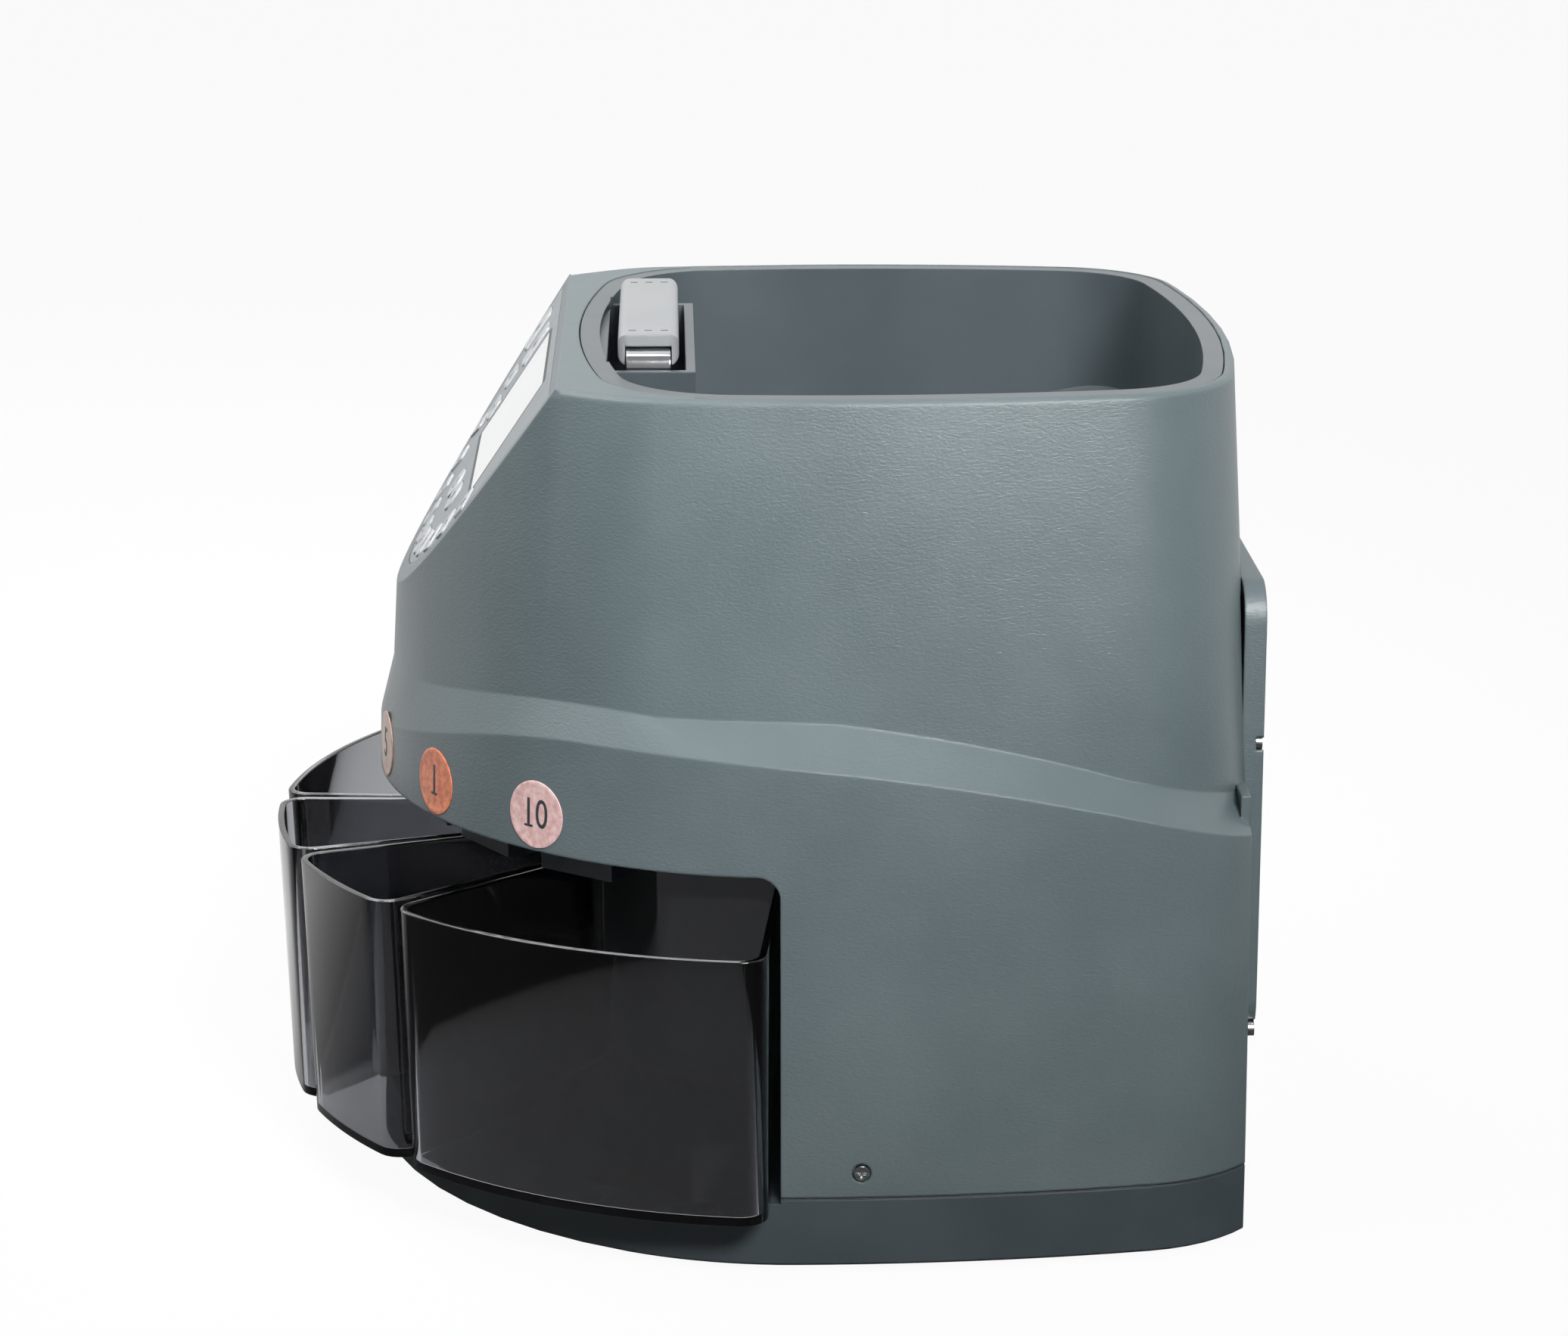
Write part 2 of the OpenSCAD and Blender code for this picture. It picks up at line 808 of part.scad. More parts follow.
module rear_cover() {
    tall = cover_top_z - cover_low_z;
    deep = rear_reach - rear_flat;
    color("#5d6970")
        difference() {
            translate([0, rear_flat, (cover_low_z + cover_top_z) / 2])
                rotate([-90, 0, 0])
                    difference() {
                        linear_extrude(deep)
                            round_rect(2 * cover_half, tall, cover_round);
                        translate([0, 0, -eps])
                            linear_extrude(deep - wall + eps)
                                round_rect(2 * cover_half - 9, tall - 9, cover_round - 3);
                        for (k = [0 : 6])
                            translate([0, (k - 3) * 8 + 20, 0])
                                linear_extrude(far)
                                    round_rect(80, 3, 1.4);
                    }
            rear_screw_spots() {
                cylinder(h = far, d = screw_dia + 0.4);
                translate([0, 0, deep - screw_head_tall - 0.4])
                    cylinder(h = far, d = screw_bore);
            }
        }
}

module rear_screws() {
    deep = rear_reach - rear_flat;
    color("#c4c7ca")
        rear_screw_spots()
            translate([0, 0, deep - screw_head_tall - 0.4])
                screw(deep - screw_head_tall + 2);
}

inlet_mid_z = (inlet_low_z + cover_low_z - 0.4) / 2;
inlet_x = 30;
rocker_x = 64;

module inlet_spot() {
    translate([inlet_x, rear_flat, inlet_mid_z])
        rotate([-90, 0, 0])
            children();
}

module rocker_spot() {
    translate([rocker_x, rear_flat + inlet_thick, inlet_mid_z])
        rotate([-90, 0, 0])
            children();
}

module inlet_body(grow) {
    translate([0, 0, -24 - grow])
        linear_extrude(24 + inlet_thick + 2 * grow)
            round_rect(24 + 2 * grow, 13 + 2 * grow, 3 + grow);
}

module inlet_plate() {
    tall = cover_low_z - 0.4 - inlet_low_z;
    color("#3b4348")
        difference() {
            union() {
                translate([-inlet_half, rear_flat, inlet_low_z])
                    cube([2 * inlet_half, inlet_thick, tall]);
                rocker_spot()
                    translate([0, 0, -9])
                        linear_extrude(10)
                            round_rect(21.6, 13.6, 1);
            }
            inlet_spot()
                inlet_body(0.1);
            rocker_spot() {
                cube([18.8, 9.8, 60], center = true);
                rotate([90, 0, 0])
                    cylinder(h = 11.8, d = 2.2, center = true);
            }
        }
}

module power_inlet() {
    color("#1d1f21")
        inlet_spot()
            difference() {
                inlet_body(0);
                translate([0, 0, inlet_thick - 14])
                    linear_extrude(20)
                        round_rect(19, 8.4, 3);
            }
    color("#b5a36a")
        inlet_spot()
            for (i = [-1, 1])
                translate([i * 4.3, 0, inlet_thick - 15])
                    cylinder(h = 11, d = 2.4);
}

module power_rocker() {
    color("#17191b")
        rocker_spot() {
            rotate([0, rocker_tilt, 0])
                intersection() {
                    translate([0, 0, -2])
                        cube([17.4, 9.2, 9], center = true);
                    rotate([90, 0, 0])
                        cylinder(h = 12, r = 9, center = true);
                    translate([0, 0, -30.5])
                        rotate([90, 0, 0])
                            cylinder(h = 12, r = 33, center = true);
                }
            rotate([90, 0, 0])
                cylinder(h = 11.4, d = 2, center = true);
        }
}

// Hopper and handle

// Upright solid inside an outline
module prism(arcs, z0, z1, o) {
    translate([0, 0, z0])
        linear_extrude(z1 - z0)
            polygon(ring_points(arcs, o));
}

// Everything over the funnel's slope, lowered by its thickness
module over_funnel(thick) {
    wide = funnel_hole + 2 * funnel_run;
    translate([0, funnel_y, -thick])
        rotate_extrude()
            polygon([[0, funnel_low], [funnel_hole, funnel_low], [wide, funnel_low + 2 * funnel_rise],
                [wide, rim_z + 60], [0, rim_z + 60]]);
}

hopper_skin = 3;

module hopper_bowl() {
    top = rim_z - 0.2;
    outer = -flange_ledge - 0.4;
    inner = outer - hopper_skin;
    neck_z = disc_z + disc_thick + 3;
    neck = funnel_hole + hopper_skin;
    color("#59646b")
        difference() {
            union() {
                difference() {
                    intersection() {
                        union() {
                            prism(hopper, lip_z, top, -0.15);
                            prism(hopper, funnel_low - 5, lip_z + 1, outer);
                        }
                        over_funnel(hopper_skin);
                    }
                    intersection() {
                        prism(hopper, funnel_low - 10, rim_z + 5, inner);
                        over_funnel(0);
                    }
                }
                translate([0, funnel_y, neck_z])
                    cylinder(h = funnel_low - neck_z, r = neck);
                intersection() {
                    translate([-well_half, -hopper_tip, well_floor_z])
                        cube([2 * well_half, hopper_tip - well_rear, well_top_z - well_floor_z]);
                    prism(hopper, well_floor_z - 1, rim_z, outer);
                }
            }
            translate([-well_half + well_wall, -grip_front - 3.5, well_floor_z + well_wall])
                cube([2 * (well_half - well_wall), grip_front + 3.5 - well_rear - well_wall, far]);
            translate([0, funnel_y, neck_z - 1])
                cylinder(h = funnel_low - neck_z + 1 + eps, r = funnel_hole);
            handle_pin_spots()
                cylinder(h = pin_long + 0.6, d = 4.1);
        }
}

pin_inset = 3;
pin_long = 30;
pin_x = grip_long / 2 - pin_inset;
strap_low = well_floor_z + well_wall + 0.3;
pin_z = strap_low + strap_thick + handle_lift + 0.3 + 2;

module handle_pin_spots() {
    for (i = [-1, 1])
        translate([i * pin_x, -well_rear - pin_long, pin_z])
            rotate([-90, 0, 0])
                children();
}

module handle_pins() {
    color("#a9adb1")
        handle_pin_spots()
            cylinder(h = pin_long, d = 4);
}

module handle_grip() {
    edge = 3;
    slot = strap_wide + 0.8;
    color("#9ea2a4")
        difference() {
            intersection() {
                translate([0, grip_mid_y, grip_z])
                    linear_extrude(grip_tall)
                        round_rect(grip_long, grip_wide, 4);
                translate([-grip_long / 2, grip_mid_y, grip_z + grip_tall / 2])
                    rotate([90, 0, 90])
                        linear_extrude(grip_long)
                            round_rect(grip_wide, grip_tall, edge);
            }
            for (i = [-1, 1])
                translate([i * (grip_long / 2 - 3.5) - 3.6, grip_mid_y - slot / 2, grip_z - 1])
                    cube([7.2, slot, grip_tall - 3.6 + 1]);
            for (i = [-1, 1])
                translate([i * (grip_long / 2 - 10) - 6, grip_mid_y - strap_wide / 2 - 0.1, strap_top - strap_thick - 0.1])
                    cube([12, strap_wide + 0.2, strap_thick + 0.2]);
        }
}

strap_top = grip_z + grip_tall - 4;
strap_bend = 5;
strap_x = grip_long / 2 + 2;

module handle_straps() {
    turn_z = strap_top - strap_thick - strap_bend;
    turn_x = strap_x - strap_bend;
    color("#d6d8da")
        for (i = [0, 1])
            mirror([i, 0, 0])
                translate([0, grip_mid_y - strap_wide / 2, 0]) {
                    translate([grip_long / 2 - 15.5, 0, strap_top - strap_thick])
                        cube([turn_x - grip_long / 2 + 15.5, strap_wide, strap_thick]);
                    translate([turn_x, strap_wide, turn_z])
                        rotate([90, 0, 0])
                            rotate_extrude(angle = 90)
                                translate([strap_bend, 0])
                                    square([strap_thick, strap_wide]);
                    translate([strap_x, 0, strap_low])
                        cube([strap_thick, strap_wide, turn_z - strap_low]);
                    translate([pin_x - 4, 0, strap_low])
                        cube([strap_x - pin_x + 4 + strap_thick, strap_wide, strap_thick]);
                }
}

// Panel fittings

function side_long(k) = k < 2 ? side_key_long : side_key_short;

module on_fan(k) {
    a = (k - 4.5) * fan_step;
    on_panel()
        translate([0, -fan_drop, 0])
            rotate([0, 0, a])
                translate([0, -fan_radius, 0])
                    children();
}

module on_oval(k) {
    on_panel()
        translate([(k - 0.5) * oval_pitch + 4, -oval_drop, 0])
            children();
}

module on_side(k) {
    x = [side_outer_x, side_inner_x, side_third_x, side_fourth_x][k];
    y = k < 2 ? lcd_drop + side_key_long / 2 + 1 : k == 2 ? side_third_drop : side_fourth_drop;
    on_panel()
        translate([-x, -y, 0])
            children();
}

module panel_overlay() {
    color("#8f9395")
        difference() {
            intersection() {
                bow_cone(-overlay_margin);
                panel_layer(-overlay_thick, 0, -overlay_margin);
            }
            key_spaces(key_gap, -3, 3);
            lcd_spot()
                cube([lcd_wide + 0.4, lcd_tall + 0.4, 9], center = true);
        }
}

module lcd_window() {
    color("#cfd2d1")
        lcd_spot()
            translate([0, 0, -lens_thick])
                linear_extrude(lens_thick)
                    square([lcd_wide, lcd_tall], center = true);
}

module lcd_module() {
    color("#3f6b4d")
        lcd_spot()
            translate([-lcd_wide / 2, -lcd_tall / 2 + 1, panel_inner - lcd_deep])
                cube([lcd_wide, lcd_tall - 2, lcd_deep]);
}

key_low = panel_inner - 0.3 - 1;

module key_cap(wide, long, r) {
    color("#c3c6c8") {
        translate([0, 0, key_low])
            linear_extrude(key_proud - key_low)
                round_rect(wide, long, r);
        translate([0, 0, key_low])
            linear_extrude(1)
                round_rect(wide + 1.4, long + 1.4, r + 0.4);
    }
}

module fan_key(k) {
    on_fan(k)
        key_cap(fan_key_wide, fan_key_long, 1.5);
}

module oval_key(k) {
    on_oval(k)
        key_cap(oval_wide, oval_long, oval_long / 2 - 0.5);
}

module side_key(k) {
    on_side(k)
        key_cap(side_key_wide, side_long(k), 1.5);
}

board_top = key_low - key_travel - 0.45;

module keypad_board() {
    color("#3d6a4a")
        difference() {
            intersection() {
                bow_cone(-wall - 1);
                panel_layer(board_top - 1.6, board_top, -lcd_drop - 1);
            }
            on_panel()
                translate([lcd_shift - lcd_wide / 2 - 1, -lcd_drop - lcd_tall - 1, -30])
                    cube([far, far, 60]);
        }
    color("#bfc2c4") {
        for (k = [0 : 9])
            on_fan(k)
                translate([0, 0, board_top - eps])
                    cylinder(h = 0.4 + eps, d = 5);
        for (k = [0, 1])
            on_oval(k)
                translate([0, 0, board_top - eps])
                    cylinder(h = 0.4 + eps, d = 5);
        for (k = [0 : 3])
            on_side(k)
                translate([0, 0, board_top - eps])
                    cylinder(h = 0.4 + eps, d = 5);
    }
    color("#bfc2c4")
        on_panel()
            for (i = [-1, 1]) {
                translate([i * 24 + 4, -lcd_drop - lcd_tall - 10, board_top - eps])
                    cylinder(h = panel_inner - board_top + eps, d = 4);
            }
}

// Sorting works

module wedge(a0, a1, r) {
    mid = (a0 + a1) / 2;
    polygon([[0, 0], [r * sin(a0), -r * cos(a0)], [1.5 * r * sin(mid), -1.5 * r * cos(mid)],
        [r * sin(a1), -r * cos(a1)]]);
}

module front_ring(r0, r1, sweep_angle) {
    intersection() {
        difference() {
            circle(r1);
            circle(r0);
        }
        union() {
            wedge(0, sweep_angle, far);
            wedge(-sweep_angle, 0, far);
        }
    }
}

module at_chute(k) {
    rotate([0, 0, chutes[k]])
        children();
}

module coin_slot(k, grow) {
    across = coins[k] + coin_gap;
    translate([-coins[k] / 2 - 3 - grow, -rail_radius - grow])
        square([coins[k] + 6 + 2 * grow, across + 2 * grow]);
}

module deck_plate() {
    color("#8d9296")
        difference() {
            intersection() {
                prism(based, deck_z, deck_top, -12);
                ahead_of(post_y + 6);
            }
            translate([0, 0, deck_z - 1])
                linear_extrude(wall + 2) {
                    circle(14);
                    for (k = [0 : 4])
                        at_chute(k)
                            coin_slot(k, chute_wall + 1);
                }
        }
}

module bay_wall() {
    thick = 2.5;
    y = -1.5 - thick;
    color("#4f5a61")
        difference() {
            union() {
                translate([0, 0, bay_floor_z])
                    linear_extrude(deck_z - bay_floor_z)
                        difference() {
                            circle(bin_inner - 3.5);
                            circle(bin_inner - 3.5 - thick);
                            translate([-far, y + thick])
                                square([2 * far, far]);
                        }
                for (i = [0, 1])
                    mirror([i, 0, 0])
                        translate([bin_inner - 3.5 - thick, y, bay_floor_z])
                            cube([base_half - bin_inner - 10, thick, deck_z - bay_floor_z]);
            }
        }
}

module sorting_ring() {
    color("#b4b8bb") {
        translate([0, 0, ring_z])
            linear_extrude(ring_thick)
                difference() {
                    front_ring(disc_radius + 2, rail_radius + 6, 98);
                    for (k = [0 : 4])
                        at_chute(k)
                            coin_slot(k, 0);
                }
        translate([0, 0, deck_top])
            linear_extrude(ring_lift + eps)
                for (a = [-90, -75, -34, 0, 43, 75, 90])
                    rotate([0, 0, a])
                        translate([0, -disc_radius - 5])
                            circle(2.5);
    }
}

module guide_rail() {
    color("#9da1a4")
        translate([0, 0, ring_top])
            linear_extrude(8)
                front_ring(rail_radius, rail_radius + 3, 96);
}

module coin_chutes() {
    color("#596167")
        for (k = [0 : 4])
            at_chute(k)
                translate([0, 0, chute_low_z])
                    linear_extrude(ring_z - chute_low_z)
                        difference() {
                            coin_slot(k, chute_wall);
                            coin_slot(k, 0);
                        }
}

module coin_sensors() {
    color("#232628")
        for (k = [0 : 4])
            at_chute(k)
                translate([-4, -disc_radius - 9, deck_top])
                    cube([8, 6, ring_lift - 0.3]);
}

module feed_disc() {
    color("#8b9094") {
        difference() {
            union() {
                translate([0, 0, disc_z])
                    cylinder(h = disc_thick, r = disc_radius);
                translate([0, 0, deck_top + 0.8])
                    cylinder(h = disc_z - deck_top - 0.7, r = 12);
                translate([0, 0, disc_z + disc_thick - eps])
                    cylinder(h = 16, r1 = 24, r2 = 7);
                for (a = [0 : 60 : 300])
                    rotate([0, 0, a])
                        translate([30, -2, disc_z + disc_thick - eps])
                            cube([22, 4, 1.6]);
            }
            translate([0, 0, deck_top])
                cylinder(h = disc_z + disc_thick + 8 - deck_top, d = spindle_dia);
        }
    }
}

// Drive

housing_low = deck_z - 22;

module bearing_housing() {
    color("#7c8286")
        translate([0, 0, housing_low])
            difference() {
                union() {
                    cylinder(h = deck_z - housing_low, d = bearing_dia + 8);
                    translate([0, 0, deck_z - housing_low - 4])
                        cylinder(h = 4, d = bearing_dia + 26);
                }
                translate([0, 0, -1])
                    cylinder(h = 60, d = bearing_dia - 4);
                translate([0, 0, -1])
                    cylinder(h = bearing_wide + 1, d = bearing_dia);
                translate([0, 0, deck_z - housing_low - bearing_wide])
                    cylinder(h = 60, d = bearing_dia);
            }
}

module spindle_bearings() {
    color("#c9ccce")
        for (z = [housing_low, deck_z - bearing_wide])
            translate([0, 0, z])
                difference() {
                    cylinder(h = bearing_wide, d = bearing_dia);
                    translate([0, 0, -1])
                        cylinder(h = far, d = spindle_dia + 2 * running_gap);
                }
}

module spindle() {
    color("#c9ccce") {
        low = pulley_z - 2;
        translate([0, 0, low])
            cylinder(h = disc_z + disc_thick + 7.5 - low, d = spindle_dia);
    }
}

module pulley(radius, bore) {
    flange = (pulley_wide - belt_wide) / 2;
    difference() {
        union() {
            cylinder(h = pulley_wide, r = radius);
            cylinder(h = flange - 0.2, r = radius + 2.5);
            translate([0, 0, pulley_wide - flange + 0.2])
                cylinder(h = flange - 0.2, r = radius + 2.5);
        }
        translate([0, 0, -1])
            cylinder(h = far, d = bore);
    }
}

module drive_pulley() {
    color("#3a3f43")
        translate([0, 0, pulley_z])
            difference() {
                pulley(pulley_radius, spindle_dia);
                for (a = [0 : 60 : 300])
                    rotate([0, 0, a])
                        translate([26, 0, -1])
                            cylinder(h = far, d = 15);
            }
}

motor_shaft_dia = 6;

// Loop of a belt round both pulleys at a distance from their faces
module belt_loop(grow) {
    hull() {
        circle(pulley_radius + grow);
        translate([0, motor_y])
            circle(motor_pulley_radius + grow);
    }
}

module drive_belt() {
    color("#202224")
        translate([0, 0, pulley_z + (pulley_wide - belt_wide) / 2])
            linear_extrude(belt_wide)
                difference() {
                    belt_loop(belt_gap + belt_thick);
                    belt_loop(belt_gap);
                }
}

module motor_body() {
    color("#8e9498")
        translate([0, motor_y, bracket_z - motor_long])
            difference() {
                union() {
                    cylinder(h = motor_long, d = motor_dia);
                    cylinder(h = motor_long + wall + 1, d = 18);
                }
                translate([0, 0, motor_long - 30])
                    cylinder(h = far, d = motor_shaft_dia + 2 * running_gap);
            }
}

module motor_bracket() {
    color("#a3a8ab")
        difference() {
            union() {
                translate([0, motor_y, bracket_z])
                    linear_extrude(wall)
                        round_rect(2 * leg_x + 12, 2 * leg_y + 12, 4);
                leg_spots()
                    translate([-5, -5, floor_z])
                        cube([10, 10, bracket_z + eps - floor_z]);
            }
            translate([0, motor_y, bracket_z - 1])
                cylinder(h = far, d = 18.2);
            leg_spots()
                cylinder(h = floor_z + 16, d = screw_dia);
        }
}

module motor_shaft() {
    color("#c9ccce")
        translate([0, motor_y, bracket_z - 20])
            cylinder(h = pulley_z + pulley_wide + 2 - bracket_z + 20, d = motor_shaft_dia);
}

module motor_pulley() {
    color("#3a3f43")
        translate([0, motor_y, pulley_z])
            pulley(motor_pulley_radius, motor_shaft_dia);
}

// Electrics

module main_board() {
    color("#2f6a45")
        translate([-116, 14, floor_z + 6])
            cube([70, 70, 1.6]);
    color("#c8b46a")
        for (x = [-110, -52])
            for (y = [20, 78])
                translate([x, y, floor_z])
                    cylinder(h = 6 + eps, d = 5);
    color("#222527") {
        translate([-100, 34, floor_z + 7.6 - eps])
            cube([20, 20, 3]);
        translate([-70, 30, floor_z + 7.6 - eps])
            cube([12, 28, 4]);
        translate([-110, 68, floor_z + 7.6 - eps])
            cube([30, 8, 9]);
    }
}

module power_supply() {
    color("#b99d5b")
        translate([46, 14, floor_z + 6])
            cube([70, 70, 1.6]);
    color("#c8b46a")
        for (x = [52, 110])
            for (y = [20, 78])
                translate([x, y, floor_z])
                    cylinder(h = 6 + eps, d = 5);
    color("#33373a")
        translate([58, 26, floor_z + 7.6 - eps])
            cube([42, 34, 34]);
    color("#26292b") {
        translate([64, 71, floor_z + 7.6 - eps])
            cylinder(h = 26, d = 14);
        translate([86, 71, floor_z + 7.6 - eps])
            cylinder(h = 22, d = 12);
    }
}

// Labels and bins

module coin_labels() {
    z = skirt_low_z + 1 + label_dia / 2;
    lean = skirt_draft * (z - seam_z);
    color("#c9a18c")
        for (k = [0 : 4])
            intersection() {
                sweep_arc(based[0])
                    polygon([
                        [-skirt_draft * (skirt_low_z - seam_z), skirt_low_z],
                        [label_thick - skirt_draft * (skirt_low_z - seam_z), skirt_low_z],
                        [label_thick - skirt_draft * (skirt_low_z + 30 - seam_z), skirt_low_z + 30],
                        [-skirt_draft * (skirt_low_z + 30 - seam_z), skirt_low_z + 30]
                    ]);
                translate([0, base_bow - base_tip, z])
                    rotate([0, 0, label_turn(k)])
                        rotate([90, 0, 0])
                            translate([0, 0, base_bow - lean - 12])
                                cylinder(h = 24, d = label_dia);
            }
}

// Direction of a label about the centre of the base's bow, over its chute
function label_turn(k) =
    let (c = base_bow - base_tip, a = chutes[k], s = c * sin(a) / base_bow)
    a - asin(s);

// Points round the plan of a bin between two directions, with round outer corners
function bin_ring(edges, outer, inner, r) =
    let (
        reach = outer - r,
        slip = asin(r / reach),
        first = edges[0] + slip,
        last = edges[1] - slip,
        near = outer_steps,
        corner = corner_steps
    )
    concat(
        [for (k = [0 : corner]) let (a = edges[0] - 90 + (90 + slip) * k / corner)
            [reach * sin(first) + r * sin(a), -reach * cos(first) - r * cos(a)]],
        [for (k = [1 : near - 1]) let (a = first + (last - first) * k / near)
            [outer * sin(a), -outer * cos(a)]],
        [for (k = [0 : corner]) let (a = last + (edges[1] + 90 - last) * k / corner)
            [reach * sin(last) + r * sin(a), -reach * cos(last) - r * cos(a)]],
        [for (k = [0 : near]) let (a = edges[1] + (edges[0] - edges[1]) * k / near)
            [inner * sin(a), -inner * cos(a)]]
    );

// Directions of a bin's inside faces, moved in by its wall at mid depth
function inside_edges(e) =
    let (a = 180 / PI * bin_wall / ((bin_reach + bin_inner) / 2))
    [e[0] + a, e[1] - a];

// Steps on a bin's curved front and on each of its round corners
outer_steps = 14;
corner_steps = 6;

module coin_bin(k) {
    low = bay_floor_z + bin_rest;
    outside = bin_edges[k];
    inside = inside_edges(outside);
    r = bin_round - bin_wall;
    slope = bin_draft * bin_floor / (bin_top_z - low);
    rings = [
        [bin_ring(outside, bin_reach - bin_draft, bin_inner, bin_round), low],
        [bin_ring(outside, bin_reach, bin_inner, bin_round), bin_top_z],
        [bin_ring(inside, bin_reach - bin_wall, bin_inner + bin_wall, r), bin_top_z],
        [bin_ring(inside, bin_reach - bin_draft + slope - bin_wall, bin_inner + bin_wall, r), low + bin_floor]
    ];
    n = len(rings[0][0]);
    points = [for (ring = rings) for (p = ring[0]) [p[0], p[1], ring[1]]];
    walls = [for (i = [0 : 2]) for (k = [0 : n - 1])
        let (a = i * n + k, b = i * n + (k + 1) % n)
        each [[a, b + n, b], [a, a + n, b + n]]];
    under = [[for (k = [0 : n - 1]) k]];
    inner_floor = [[for (k = [n - 1 : -1 : 0]) 3 * n + k]];
    color("#33383c")
        polyhedron(points, concat(walls, under, inner_floor));
}

// Nodes

place() base_tray();
place() rubber_feet();
place() base_screws();
place() main_housing();
place() side_screws();
place() rear_cover();
place() rear_screws();
place() inlet_plate();
place() power_inlet();
place() power_rocker();
place() hopper_bowl();
place() handle_pins();
place() handle_grip();
place() handle_straps();
place() panel_overlay();
place() lcd_window();
place() lcd_module();
place() keypad_board();
place() fan_key(0);  // key_fan_1
place() fan_key(1);  // key_fan_2
place() fan_key(2);  // key_fan_3
place() fan_key(3);  // key_fan_4
place() fan_key(4);  // key_fan_5
place() fan_key(5);  // key_fan_6
place() fan_key(6);  // key_fan_7
place() fan_key(7);  // key_fan_8
place() fan_key(8);  // key_fan_9
place() fan_key(9);  // key_fan_10
place() oval_key(0);  // key_oval_1
place() oval_key(1);  // key_oval_2
place() side_key(0);  // key_side_1
place() side_key(1);  // key_side_2
place() side_key(2);  // key_side_3
place() side_key(3);  // key_side_4
place() deck_plate();
place() bay_wall();
place() sorting_ring();
place() guide_rail();
place() coin_chutes();
place() coin_sensors();
place() bearing_housing();
place() spindle_bearings();
place() spindle();
place() feed_disc();
place() drive_pulley();
place() drive_belt();
place() motor_body();
place() motor_bracket();
place() motor_shaft();
place() motor_pulley();
place() main_board();
place() power_supply();
place() coin_labels();
place() coin_bin(0);  // coin_bin_1
place() coin_bin(1);  // coin_bin_2
place() coin_bin(2);  // coin_bin_3
place() coin_bin(3);  // coin_bin_4
place() coin_bin(4);  // coin_bin_5
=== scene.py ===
"""Looks of a counter-top coin sorter with five smoked bins, built round its CAD frame."""

import logging
import math
from collections.abc import Callable, Sequence
from dataclasses import dataclass
from enum import Enum
from typing import Any

import bmesh
import bpy
from mathutils import Matrix, Vector


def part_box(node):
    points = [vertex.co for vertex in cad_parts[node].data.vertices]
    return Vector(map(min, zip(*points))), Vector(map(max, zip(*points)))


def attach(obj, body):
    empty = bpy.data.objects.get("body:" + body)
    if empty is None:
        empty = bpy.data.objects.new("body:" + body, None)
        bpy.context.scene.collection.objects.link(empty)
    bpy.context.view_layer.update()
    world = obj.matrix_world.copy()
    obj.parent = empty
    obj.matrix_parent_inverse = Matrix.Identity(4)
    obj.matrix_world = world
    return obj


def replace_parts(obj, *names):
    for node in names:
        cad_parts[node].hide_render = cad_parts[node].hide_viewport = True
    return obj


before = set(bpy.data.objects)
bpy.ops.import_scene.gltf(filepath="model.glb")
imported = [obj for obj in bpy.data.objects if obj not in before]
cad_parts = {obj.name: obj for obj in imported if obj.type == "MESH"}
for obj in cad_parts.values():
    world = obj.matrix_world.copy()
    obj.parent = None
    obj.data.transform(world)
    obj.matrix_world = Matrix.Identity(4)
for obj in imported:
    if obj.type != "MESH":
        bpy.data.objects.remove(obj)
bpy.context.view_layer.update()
log = logging.getLogger("coin_sorter")
MM = 0.001
WHITE = "#ffffff"


def linear(code: str) -> tuple[float, float, float, float]:
    """Turn an sRGB hex colour to linear light.

    Args:
        code: Colour as #rrggbb.

    Returns:
        Linear red, green, blue and an alpha of 1.
    """
    parts = [int(code[i:i + 2], 16) / 255 for i in (1, 3, 5)]
    red, green, blue = (c / 12.92 if c <= 0.04045 else ((c + 0.055) / 1.055) ** 2.4 for c in parts)
    return red, green, blue, 1.0


def bare_tree(owner: bpy.types.Material | bpy.types.World) -> bpy.types.NodeTree:
    """Give a material or world an empty node tree.

    Args:
        owner: Material or world.

    Returns:
        Its node tree.
    """
    owner.use_nodes = True
    owner.node_tree.nodes.clear()
    return owner.node_tree


def add(tree: bpy.types.NodeTree, kind: str, sockets: dict[str | int, Any] | None = None,
        **settings: Any) -> bpy.types.Node:
    """Add a node with its settings, constants and links.

    Args:
        tree: Node tree to add to.
        kind: Type of the node.
        sockets: Inputs by name or number, each a constant or a pair of a node and the name of its output.
        **settings: Properties of the node; ramp takes pairs of a position and a hex colour.

    Returns:
        The new node.
    """
    node = tree.nodes.new(kind)
    for name, value in settings.items():
        if name == "ramp":
            for stop, (position, code) in zip(node.color_ramp.elements, value):
                stop.position, stop.color = position, linear(code)
        else:
            setattr(node, name, value)
    for name, value in (sockets or {}).items():
        if isinstance(value, tuple) and isinstance(value[0], bpy.types.Node):
            tree.links.new(value[0].outputs[value[1]], node.inputs[name])
        else:
            node.inputs[name].default_value = value
    return node


